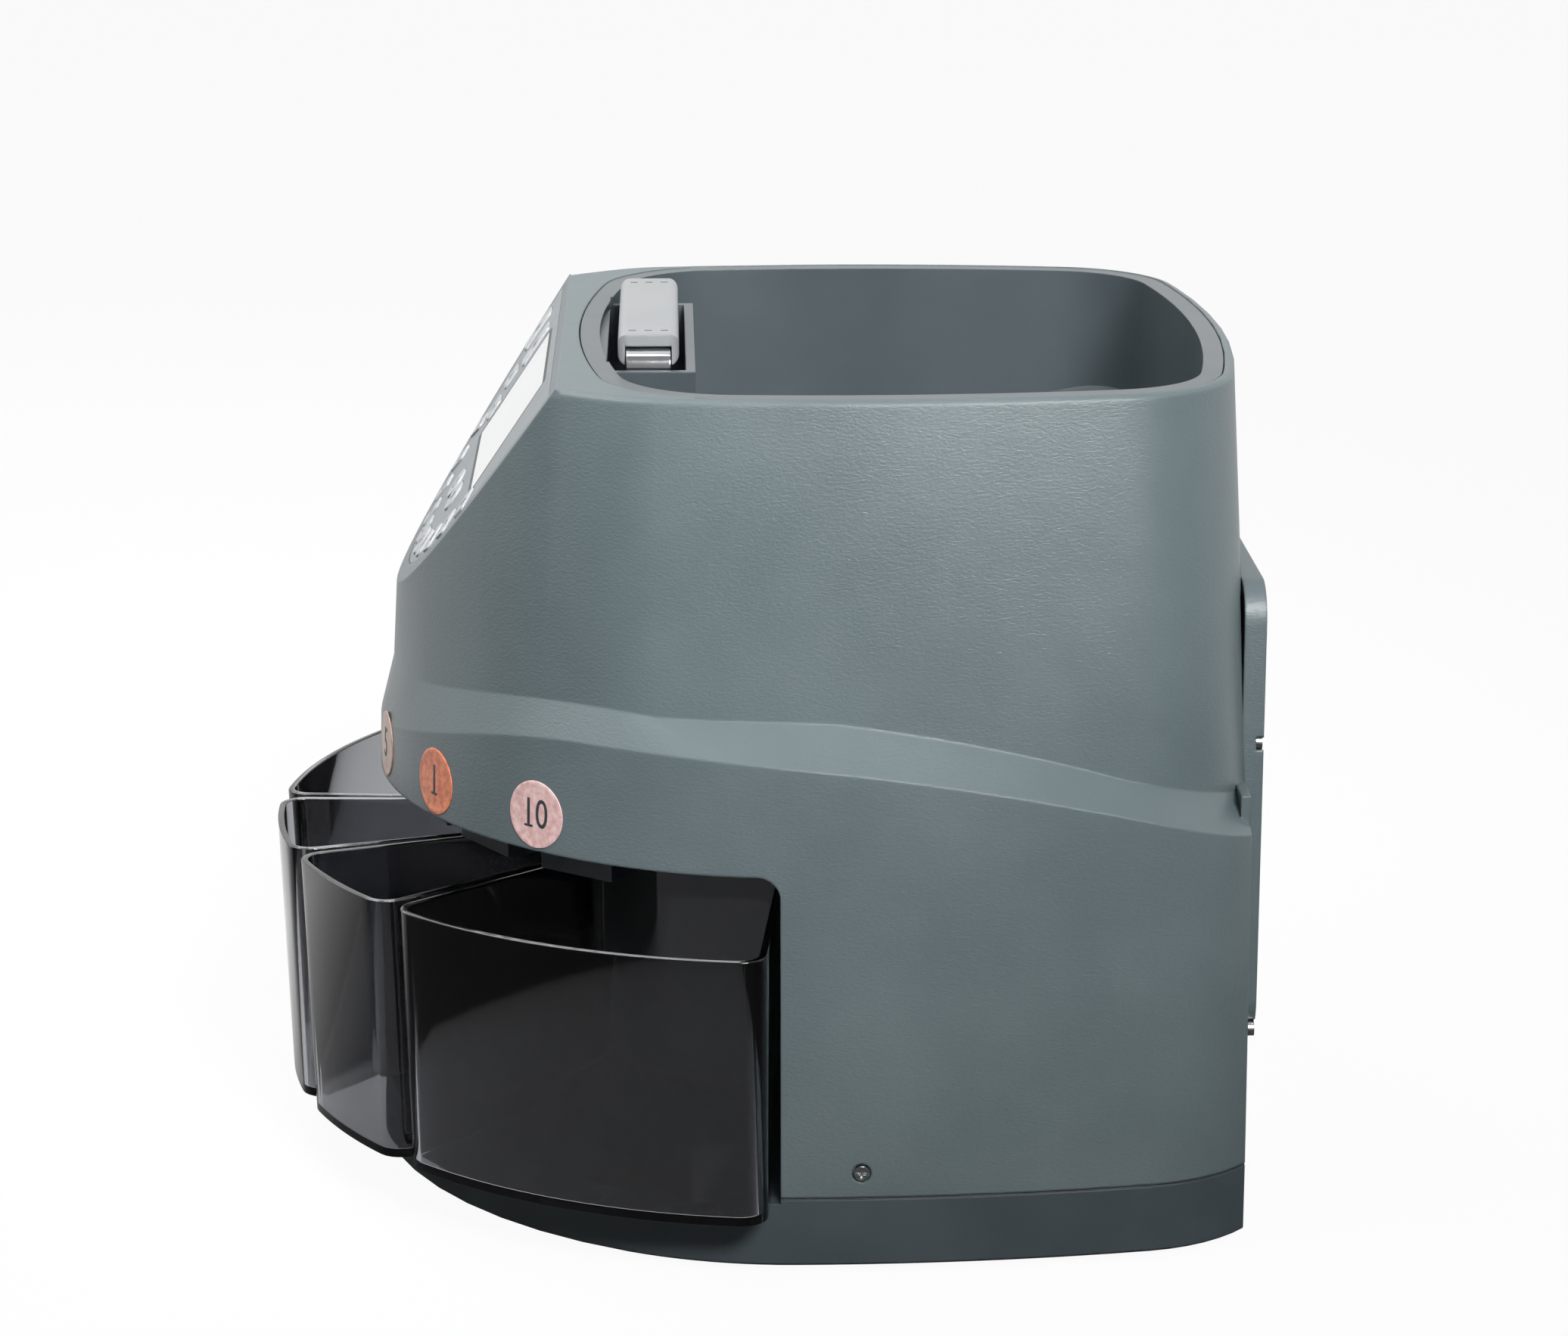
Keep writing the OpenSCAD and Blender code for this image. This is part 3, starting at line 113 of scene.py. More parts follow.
@dataclass(frozen=True)
class Finish:
    """A surface as it was made: its colours, gloss and the real size of its pattern."""

    name: str
    dark: str
    light: str
    rough: float
    ior: float = 1.5
    metallic: float = 0.0
    grain_mm: float = 0.8
    grain_depth_mm: float = 0.01
    stretch: tuple[float, float, float] = (1.0, 1.0, 1.0)
    patch_mm: float = 40.0
    edge_mm: float = 0.25
    transmission: float = 0.0
    coat: float = 0.0
    specular: float = 0.5

    def make(self) -> bpy.types.Material:
        """Build the material, or return it where it is built already.

        Returns:
            A node material on object coordinates.
        """
        found = bpy.data.materials.get(self.name)
        if found:
            return found
        material = bpy.data.materials.new(self.name)
        tree = bare_tree(material)
        place = add(tree, "ShaderNodeTexCoord")
        patch = add(tree, "ShaderNodeTexNoise", {"Vector": (place, "Object"), "Scale": 1 / (self.patch_mm * MM),
                                                 "Detail": 4.0, "Roughness": 0.6})
        tint = add(tree, "ShaderNodeValToRGB", {"Fac": (patch, "Fac")}, ramp=((0.36, self.dark), (0.64, self.light)))
        gloss = add(tree, "ShaderNodeMapRange", {"Value": (patch, "Fac"), "From Min": 0.3, "From Max": 0.7,
                                                 "To Min": self.rough * 0.88, "To Max": self.rough * 1.1})
        drawn = add(tree, "ShaderNodeMapping", {"Vector": (place, "Object"), "Scale": self.stretch})
        grain = add(tree, "ShaderNodeTexNoise", {"Vector": (drawn, "Vector"), "Scale": 1 / (self.grain_mm * MM),
                                                 "Detail": 2.5, "Roughness": 0.55, "Distortion": 0.7})
        edge = add(tree, "ShaderNodeBevel", {"Radius": self.edge_mm * MM}, samples=4)
        relief = add(tree, "ShaderNodeBump", {"Height": (grain, "Fac"), "Normal": (edge, "Normal"), "Strength": 1.0,
                                              "Distance": self.grain_depth_mm * MM})
        colour = linear(self.dark) if self.transmission else (tint, "Color")
        shader = add(tree, "ShaderNodeBsdfPrincipled", {
            "Base Color": colour, "Roughness": (gloss, "Result"), "Metallic": self.metallic, "IOR": self.ior,
            "Transmission Weight": self.transmission, "Coat Weight": self.coat, "Coat Roughness": 0.08,
            "Specular IOR Level": self.specular, "Normal": (relief, "Normal")})
        add(tree, "ShaderNodeOutputMaterial", {"Surface": (shader, "BSDF")})
        return material


class Surface(Enum):
    """Finishes of the sorter's pieces."""

    # ABS moulded in a leather-grained tool: short level wrinkles about 1.6 mm long and a soft, wide sheen.
    # Their depth is more than the real one's, so that they show at this size.
    HOUSING = Finish("abs_leather_grain_slate", "#4e595c", "#556063", 0.42, 1.53, grain_mm=1.3, grain_depth_mm=0.12,
                     stretch=(0.8, 0.8, 1.9), patch_mm=70, edge_mm=1.1)
    # ABS from a finely sparked tool: even satin with hardly any grain. Its tone, darker than the housing's, is partly
    # its own and partly painted shade of the bowl's inside.
    HOPPER = Finish("abs_satin_slate", "#3b4347", "#41494d", 0.34, 1.53, grain_mm=0.7, grain_depth_mm=0.012,
                    patch_mm=60, edge_mm=0.5)
    # The same ABS in the base, duller, and a shade darker: partly its own tone, partly painted shade of the dim low
    # part of the sorter.
    BASE = Finish("abs_satin_deep_slate", "#343c40", "#3b4347", 0.5, 1.53, grain_mm=0.8, grain_depth_mm=0.02,
                  patch_mm=50, edge_mm=0.5)
    # Smoked polycarbonate: clear, dark, with a hard bright gloss on its rims.
    SMOKED = Finish("polycarbonate_smoked_clear", "#a8a9ad", "#a8a9ad", 0.03, 1.58, grain_mm=12, grain_depth_mm=0.0,
                    patch_mm=14, edge_mm=0.0, transmission=1.0, specular=0.16)
    # Grey ABS of the carrying grip, smooth and a little polished by hands. Its light grey is partly its own and partly
    # painted light of its upward-facing top.
    GRIP = Finish("abs_polished_grey", "#7c7f81", "#858789", 0.36, 1.53, grain_mm=0.6, grain_depth_mm=0.006,
                  patch_mm=18, edge_mm=0.9)
    # Chromed spring steel: mirror bright with faint rolling lines.
    CHROME = Finish("steel_bright_chrome", "#c9cccf", "#d6d8da", 0.08, metallic=1.0, grain_mm=0.5, grain_depth_mm=0.001,
                    stretch=(0.1, 4.0, 1.0), patch_mm=10)
    # Zinc-plated steel of screws: cool grey, cloudy.
    ZINC = Finish("steel_zinc_plated", "#b3b6b8", "#cfd1d2", 0.26, metallic=1.0, grain_mm=0.3, grain_depth_mm=0.004,
                  patch_mm=1.5, edge_mm=0.12)
    # Cold-rolled steel of shafts and rings: drawn lines about 0.4 mm apart.
    STEEL = Finish("steel_brushed", "#9a9ea1", "#b4b7b9", 0.3, metallic=1.0, grain_mm=0.4, grain_depth_mm=0.004,
                   stretch=(1.0, 1.0, 0.15), patch_mm=8)
    # Galvanised sheet of the deck: spangles about 6 mm wide.
    SHEET = Finish("steel_galvanised_sheet", "#858b8f", "#a5a9ab", 0.38, metallic=1.0, grain_mm=3.0,
                   grain_depth_mm=0.006, patch_mm=6)
    # Black glass-filled nylon of the electrical fittings: dry, faintly speckled.
    NYLON = Finish("nylon_black_moulded", "#17191b", "#212326", 0.48, 1.53, grain_mm=0.4, grain_depth_mm=0.012,
                   patch_mm=6)
    # Dark acetal of pulleys and chutes: waxy.
    ACETAL = Finish("acetal_dark_moulded", "#2c3033", "#363b3f", 0.4, 1.48, grain_mm=0.6, grain_depth_mm=0.006,
                    patch_mm=12)
    # Rubber of feet and belt: dull black with a fine bloom.
    RUBBER = Finish("rubber_black", "#1a1b1c", "#2a2b2c", 0.8, 1.52, grain_mm=0.5, grain_depth_mm=0.02, patch_mm=5)
    # Polyester overlay, printed grey on its back: fine matt texture of about 0.3 mm.
    OVERLAY = Finish("polyester_film_matt_grey", "#6f767a", "#767d81", 0.42, 1.57, grain_mm=0.3, grain_depth_mm=0.004,
                     patch_mm=30, edge_mm=0.1)
    # Acrylic lens over a reflective display: pale grey, glossy.
    LENS = Finish("acrylic_over_display", "#c3c8c7", "#cdd1d0", 0.14, 1.49, grain_mm=4, grain_depth_mm=0.001,
                  patch_mm=25, edge_mm=0.1, coat=0.6)
    # Silicone-backed ABS keys: pale grey, fine matt.
    KEY = Finish("abs_matt_pale_grey", "#a6aaac", "#b2b5b7", 0.46, 1.53, grain_mm=0.4, grain_depth_mm=0.006, patch_mm=6,
                 edge_mm=0.35)
    # Glass-epoxy circuit board: green lacquer over a weave of about 0.6 mm.
    BOARD = Finish("glass_epoxy_green", "#1f5434", "#2a6a42", 0.3, 1.55, grain_mm=0.6, grain_depth_mm=0.008, patch_mm=7)
    # Pad-printed ink: dark and flat, thin at its edge.
    INK = Finish("ink_dark_printed", "#26282b", "#303338", 0.55, 1.5, grain_mm=0.3, grain_depth_mm=0.003, patch_mm=2,
                 edge_mm=0.05)
    # Nickel-silver print of a vinyl disc: pinkish and cloudy, as a worn coin is.
    SILVER_PRINT = Finish("vinyl_print_rosy_silver", "#b58f8e", "#cdb1ae", 0.34, 1.5, grain_mm=0.9, grain_depth_mm=0.01,
                          patch_mm=2.4, edge_mm=0.1)
    # Copper print of a vinyl disc: orange brown with darker clouds.
    COPPER_PRINT = Finish("vinyl_print_copper", "#a8553a", "#cf7f5a", 0.34, 1.5, grain_mm=0.9, grain_depth_mm=0.01,
                          patch_mm=2.4, edge_mm=0.1)
    # Brass-tinted print of a vinyl disc.
    BRONZE_PRINT = Finish("vinyl_print_bronze", "#8f6f60", "#b39484", 0.34, 1.5, grain_mm=0.9, grain_depth_mm=0.01,
                          patch_mm=2.4, edge_mm=0.1)


# CAD nodes that keep their shape, by finish.
DRESS: dict[Surface, tuple[str, ...]] = {
    Surface.HOUSING: ("rear_cover",),
    Surface.BASE: ("bay_wall",),
    Surface.RUBBER: ("rubber_feet", "drive_belt"),
    Surface.ZINC: ("base_screws", "side_screws", "rear_screws"),
    Surface.NYLON: ("inlet_plate", "power_inlet", "power_rocker", "coin_sensors"),
    Surface.CHROME: ("handle_straps",),
    Surface.GRIP: ("handle_grip",),
    Surface.STEEL: ("handle_pins", "sorting_ring", "guide_rail", "spindle_bearings", "spindle", "motor_shaft",
                    "lcd_module", "motor_body"),
    Surface.OVERLAY: ("panel_overlay",),
    Surface.LENS: ("lcd_window",),
    Surface.BOARD: ("keypad_board", "main_board", "power_supply"),
    Surface.KEY: tuple(f"key_fan_{k}" for k in range(1, 11)) + ("key_oval_1", "key_oval_2")
    + tuple(f"key_side_{k}" for k in range(1, 5)),
    Surface.SHEET: ("deck_plate", "motor_bracket", "bearing_housing", "feed_disc"),
    Surface.ACETAL: ("coin_chutes", "drive_pulley", "motor_pulley"),
}


def placed(name: str, data: bpy.types.ID) -> bpy.types.Object:
    """Put data in the scene as an object.

    Args:
        name: Name of the object.
        data: Mesh, curve, lamp or camera.

    Returns:
        The object, at the origin.
    """
    made = bpy.data.objects.new(name, data)
    bpy.context.scene.collection.objects.link(made)
    return made


def piece_of(bm: bmesh.types.BMesh, name: str, surface: Surface, body: str) -> bpy.types.Object:
    """Make a finished piece from a mesh that is already in its place.

    Args:
        bm: Mesh in metres in the sorter's frame; it is freed.
        name: Name of the piece.
        surface: Finish of the piece.
        body: CAD body that the piece rides on.

    Returns:
        The object of the piece.
    """
    mesh = bpy.data.meshes.new(name)
    bm.to_mesh(mesh)
    bm.free()
    mesh.materials.append(surface.value.make())
    piece = placed(name, mesh)
    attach(piece, body)
    log.info("%s: %d faces, %s", name, len(mesh.polygons), surface.value.name)
    return piece


def soften(bm: bmesh.types.BMesh, split: float) -> None:
    """Shade a mesh smoothly, with hard edges where its faces turn by more than an angle.

    Args:
        bm: Mesh to shade.
        split: Angle in degrees.
    """
    for face in bm.faces:
        face.smooth = True
    for edge in bm.edges:
        edge.smooth = edge.calc_face_angle(0.0) < math.radians(split)


def merged_copy(node: str) -> bmesh.types.BMesh:
    """Copy a CAD node's triangles and merge them to one surface.

    Args:
        node: Name of the node.

    Returns:
        The merged mesh.
    """
    bm = bmesh.new()
    bm.from_mesh(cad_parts[node].data)
    bmesh.ops.remove_doubles(bm, verts=bm.verts, dist=1e-6)
    return bm


def move(bm: bmesh.types.BMesh, to: Callable[[Vector], Vector]) -> None:
    """Move every point of a mesh by a rule, and turn its faces outwards again.

    Args:
        bm: Mesh to move.
        to: Rule from a point's old place to its new one.
    """
    for vert in bm.verts:
        vert.co = to(vert.co)
    bmesh.ops.recalc_face_normals(bm, faces=bm.faces)


def words(text: str, size: float, deep: float) -> bmesh.types.BMesh:
    """Make a numeral as a mesh, centred on its own middle.

    Args:
        text: Digits to draw.
        size: Height of the type in millimetres.
        deep: Thickness in millimetres.

    Returns:
        Mesh in millimetres, with X to the right, Y up and Z towards the reader.
    """
    curve = bpy.data.curves.new("numeral", "FONT")
    curve.body, curve.size, curve.extrude = text, size, deep / 2
    curve.align_x, curve.align_y = "CENTER", "CENTER"
    curve.resolution_u = 4
    flat = placed("numeral", curve)
    bpy.context.view_layer.update()
    mesh = bpy.data.meshes.new_from_object(flat.evaluated_get(bpy.context.evaluated_depsgraph_get()))
    bpy.data.objects.remove(flat)
    bpy.data.curves.remove(curve)
    bm = bmesh.new()
    bm.from_mesh(mesh)
    bpy.data.meshes.remove(mesh)
    bmesh.ops.remove_doubles(bm, verts=bm.verts, dist=1e-4)
    return bm


@dataclass
class Mouldings:
    """Housing, base and hopper: the large moulded shells, hard-edged past an angle in degrees."""

    split: float = 13.0

    def build(self) -> None:
        """Stand a softly shaded copy in for each faceted shell."""
        for node, surface, slot in (("main_housing", Surface.HOUSING, "housing"), ("base_tray", Surface.BASE, "base"),
                                    ("hopper_bowl", Surface.HOPPER, "hopper")):
            bm = merged_copy(node)
            soften(bm, self.split)
            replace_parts(piece_of(bm, f"{node}_shell", surface, "frame"), node)


@dataclass
class CornerStrips:
    """Strips that close the joint between the flat back and its curved corners, as outlines of the right-hand ones."""

    front: float = 146.8
    back: float = 149.4
    low: tuple[tuple[float, float], ...] = ((111.6, 5.5), (116.4, 5.5), (116.4, 24.4), (111.6, 24.4))
    high: tuple[tuple[float, float], ...] = ((111.6, 24.6), (116.5, 24.6), (112.4, 99.5), (111.6, 99.5))

    def strip(self, points: Sequence[tuple[float, float]]) -> bmesh.types.BMesh:
        """Extrude a strip from its outline.

        Args:
            points: Outline across and up, in millimetres.

        Returns:
            The closed strip in metres.
        """
        bm = bmesh.new()
        face = bm.faces.new([bm.verts.new((x * MM, self.front * MM, z * MM)) for x, z in points])
        made = bmesh.ops.extrude_face_region(bm, geom=[face])["geom"]
        bmesh.ops.translate(bm, verts=[v for v in made if isinstance(v, bmesh.types.BMVert)],
                            vec=(0, (self.back - self.front) * MM, 0))
        bmesh.ops.recalc_face_normals(bm, faces=bm.faces)
        return bm

    def build(self) -> None:
        """Close both corners of base and housing."""
        for name, side in (("right", 1), ("left", -1)):
            for part, surface, outline in (("base", Surface.BASE, self.low), ("housing", Surface.HOUSING, self.high)):
                bm = self.strip([(side * x, z) for x, z in outline])
                piece_of(bm, f"{part}_corner_strip_{name}", surface, "frame")


@dataclass
class Bins:
    """Five smoked bins with rolled rims: lengths in millimetres, angles in degrees."""

    count: int = 5
    rim: float = 0.45
    split: float = 40.0
    flat: float = 0.6
    sharp: float = 50.0

    def build(self) -> None:
        """Stand a copy with rounded rims in for each bin."""
        for k in range(1, self.count + 1):
            bm = merged_copy(f"coin_bin_{k}")
            bmesh.ops.dissolve_limit(bm, angle_limit=math.radians(self.flat), verts=bm.verts, edges=bm.edges)
            rims = [e for e in bm.edges if e.calc_face_angle(0.0) > math.radians(self.sharp)]
            bmesh.ops.bevel(bm, geom=rims, offset=self.rim * MM, affect="EDGES", segments=3, profile=0.5, material=-1,
                            clamp_overlap=True)
            soften(bm, self.split)
            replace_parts(piece_of(bm, f"bin_{k}_shell", Surface.SMOKED, f"bin_{k}"), f"coin_bin_{k}")


class Coin(Enum):
    """Printed discs over the bins: number, direction in degrees and print."""

    TEN = ("10", 50.6, Surface.SILVER_PRINT)
    ONE = ("1", 31.2, Surface.COPPER_PRINT)
    FIVE = ("5", 12.5, Surface.BRONZE_PRINT)
    QUARTER = ("25", -13.9, Surface.SILVER_PRINT)
    HUNDRED = ("100", -50.6, Surface.BRONZE_PRINT)


@dataclass
class Labels:
    """Round stickers on the curved front, each with a plain number."""

    mid_z: float = 136.5
    bow: float = 150.0
    bow_y: float = 24.6
    seam_z: float = 24.5
    draft: float = 0.03
    split: float = 40.0
    narrow: float = 0.8
    raised: float = 0.16
    lift: float = 0.3
    longest: float = 1.5
    section: tuple[tuple[float, float], ...] = (
        (0, 0.28), (2, 0.28), (4, 0.28), (6, 0.28), (8, 0.28), (9.0, 0.28), (9.25, 0.34), (9.9, 0.34), (10.4, 0.3),
        (10.5, 0.2), (10.5, -0.12))

    def on_wall(self, turn: float) -> Callable[[Vector], Vector]:
        """Give the rule that bends a flat sticker to the front wall.

        Args:
            turn: Direction of the sticker in degrees.

        Returns:
            A rule from millimetres on the sticker to metres in the frame.
        """
        mid = self.bow - self.draft * (self.mid_z - self.seam_z)

        def bend(p: Vector) -> Vector:
            """Bend one point.

            Args:
                p: Point of the flat sticker, in millimetres.

            Returns:
                Its place in metres.
            """
            z = self.mid_z + p.y
            r = self.bow - self.draft * (z - self.seam_z) + p.z
            a = math.radians(turn) + p.x / mid
            return Vector((r * math.sin(a), self.bow_y - r * math.cos(a), z)) * MM
        return bend

    def disc(self) -> bmesh.types.BMesh:
        """Spin a sticker with a raised rim from its section.

        Returns:
            The flat sticker in millimetres.
        """
        bm = bmesh.new()
        verts = [bm.verts.new((x, 0, z)) for x, z in self.section]
        edges = [bm.edges.new(pair) for pair in zip(verts, verts[1:])]
        bmesh.ops.spin(bm, geom=verts + edges, cent=(0, 0, 0), axis=(0, 0, 1), angle=math.tau, steps=64, use_merge=True)
        bmesh.ops.remove_doubles(bm, verts=bm.verts, dist=1e-4)
        return bm

    def number(self, text: str) -> bmesh.types.BMesh:
        """Set a narrow number, with a foot under its first stroke where that is a one.

        Args:
            text: Number to set.

        Returns:
            Flat raised digits in millimetres.
        """
        bm = words(text, {1: 14.0, 2: 13.0, 3: 9.6}[len(text)], self.raised)
        bmesh.ops.scale(bm, verts=bm.verts, vec=(self.narrow, 1, 1))
        low, high = (pick(v.co.y for v in bm.verts) for pick in (min, max))
        left, tall = min(v.co.x for v in bm.verts), high - low
        if text.startswith("1"):
            stem = [v.co.x for v in bm.verts if v.co.y < low + 0.02 * tall and v.co.x < left + 0.4 * tall]
            foot = bmesh.ops.create_cube(bm, size=1.0)["verts"]
            bmesh.ops.scale(bm, verts=foot, vec=(0.36 * tall, 0.07 * tall, 0.15))
            bmesh.ops.translate(bm, verts=foot, vec=(sum(stem) / len(stem), low + 0.035 * tall, 0.075))
        return bm

    def build(self) -> None:
        """Make the five stickers and their numbers."""
        for place, coin in enumerate(Coin):
            number, turn, surface = coin.value
            bm = self.disc()
            move(bm, self.on_wall(turn))
            soften(bm, self.split)
            piece = piece_of(bm, f"coin_label_{number}", surface, "frame")
            if place == 0:
                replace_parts(piece, "coin_labels")
            bm = self.number(number)
            bmesh.ops.subdivide_edges(bm, edges=[e for e in bm.edges if e.calc_length() > self.longest], cuts=1)
            bmesh.ops.translate(bm, verts=bm.verts, vec=(0, 0, self.lift))
            move(bm, self.on_wall(turn))
            piece_of(bm, f"coin_number_{number}", Surface.INK, "frame")


@dataclass
class Panel:
    """Sloped control panel: prints on its keys and round its display."""

    edge_y: float = -61.0
    rim_z: float = 266.0
    down: tuple[float, float] = (-0.5592, -0.8290)
    out: tuple[float, float] = (-0.8290, 0.5592)
    ink: float = 0.06
    digit: tuple[float, float] = (4.6, 0.08)
    many: int = 8
    display: tuple[float, float] = (47.2, 22.2)
    corner: float = 2.5
    line: float = 1.7

    def place(self, x: float, t: float, n: float) -> Callable[[Vector], Vector]:
        """Give the rule that lays a flat print on the panel.

        Args:
            x: Middle of the print across the panel, in millimetres.
            t: Its middle down the slope.
            n: Its height over the panel.

        Returns:
            A rule from millimetres on the print to metres in the frame.
        """
        def lay(p: Vector) -> Vector:
            """Lay one point.

            Args:
                p: Point of the flat print, in millimetres.

            Returns:
                Its place in metres.
            """
            fall, rise = t - p.y, n + p.z
            return Vector((x + p.x, self.edge_y + self.down[0] * fall + self.out[0] * rise,
                           self.rim_z + self.down[1] * fall + self.out[1] * rise)) * MM
        return lay

    def spot(self, node: str) -> tuple[float, float, float]:
        """Find a node's middle on the panel and its top.

        Args:
            node: Name of the node.

        Returns:
            Its place across, down the slope and its highest point over the panel, in millimetres.
        """
        points = [v.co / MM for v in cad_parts[node].data.vertices]
        falls = [self.down[0] * (p.y - self.edge_y) + self.down[1] * (p.z - self.rim_z) for p in points]
        rises = [self.out[0] * (p.y - self.edge_y) + self.out[1] * (p.z - self.rim_z) for p in points]
        xs = [p.x for p in points]
        return (min(xs) + max(xs)) / 2, (min(falls) + max(falls)) / 2, max(rises)

    def hollow(self, bm: bmesh.types.BMesh, width: float) -> None:
        """Leave only a line along the edge of a flat face.

        Args:
            bm: Mesh of one face.
            width: Width of the line in millimetres.
        """
        bmesh.ops.inset_region(bm, faces=bm.faces, thickness=width, use_boundary=True)
        inner = max(bm.faces, key=lambda f: f.calc_area())
        bmesh.ops.delete(bm, geom=[inner], context="FACES")

    def mark(self, sides: int, size: float, turn: float) -> bmesh.types.BMesh:
        """Make a small flat sign: a ring of many sides, or a filled one of few.

        Args:
            sides: Number of sides.
            size: Radius in millimetres.
            turn: Turn in degrees.

        Returns:
            Mesh in millimetres.
        """
        bm = bmesh.new()
        bmesh.ops.create_circle(bm, cap_ends=True, radius=size, segments=sides,
                                matrix=Matrix.Rotation(math.radians(turn), 4, "Z"))
        if sides > self.many:
            self.hollow(bm, size * 0.3)
        bmesh.ops.solidify(bm, geom=bm.faces, thickness=self.ink)
        return bm

    def build(self) -> None:
        """Print the keys and frame the display."""
        for k in range(1, 11):
            x, t, n = self.spot(f"key_fan_{k}")
            bm = words(str(k % 10), *self.digit)
            move(bm, self.place(x, t, n + 0.02))
            piece_of(bm, f"key_print_fan_{k}", Surface.INK, f"key_fan_{k}_body")
        signs = (("key_oval_1", 40, 2.2, 0.0), ("key_oval_2", 4, 2.2, 45.0), ("key_side_1", 3, 3.0, 90.0),
                 ("key_side_2", 3, 3.0, -90.0), ("key_side_3", 3, 2.0, 0.0), ("key_side_4", 3, 2.0, 180.0))
        for node, sides, size, turn in signs:
            x, t, n = self.spot(node)
            bm = self.mark(sides, size, turn)
            move(bm, self.place(x, t, n + 0.03))
            piece_of(bm, f"{node}_print", Surface.INK, f"{node}_body")
        self.frame_display()

    def frame_display(self) -> None:
        """Print a thin frame round the display."""
        x, t, n = self.spot("lcd_window")
        bm = bmesh.new()
        bmesh.ops.create_grid(bm, x_segments=1, y_segments=1, size=1)
        bmesh.ops.scale(bm, verts=bm.verts, vec=(*self.display, 1))
        bmesh.ops.bevel(bm, geom=list(bm.verts), offset=self.corner, affect="VERTICES", segments=6, profile=0.5,
                        material=-1)
        self.hollow(bm, self.line)
        bmesh.ops.solidify(bm, geom=bm.faces, thickness=self.ink)
        move(bm, self.place(x, t, n + 0.04))
        piece_of(bm, "display_frame_print", Surface.INK, "frame")


@dataclass
class Grip:
    """Dark dashes on the carrying grip: black bars that paint the shade in its small moulded recesses."""

    inset: float = 8.0
    pitch: float = 5.0
    size: tuple[float, float, float] = (0.8, 2.4, 0.5)
    sunk: float = 0.15
    rounded: float = 0.12

    def build(self) -> None:
        """Set three short black bars of painted shade across the grip near each end."""
        low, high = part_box("handle_grip")
        mid = (low.y + high.y) / 2
        for side in (-1, 1):
            bm = bmesh.new()
            for k in (-1, 0, 1):
                made = bmesh.ops.create_cube(bm, size=1.0)["verts"]
                bmesh.ops.scale(bm, verts=made, vec=[s * MM for s in self.size])
                bmesh.ops.translate(bm, verts=made, vec=(side * (high.x - self.inset * MM), mid + k * self.pitch * MM,
                                                         high.z - self.sunk * MM))
            bmesh.ops.bevel(bm, geom=list(bm.edges), offset=self.rounded * MM, affect="EDGES", segments=2,
                            profile=0.5, material=-1)
            # Black nylon bars stand in for the shade of the moulded recesses: painted shade.
            piece_of(bm, f"grip_recess_painted_shade_{'left' if side < 0 else 'right'}", Surface.NYLON, "handle")


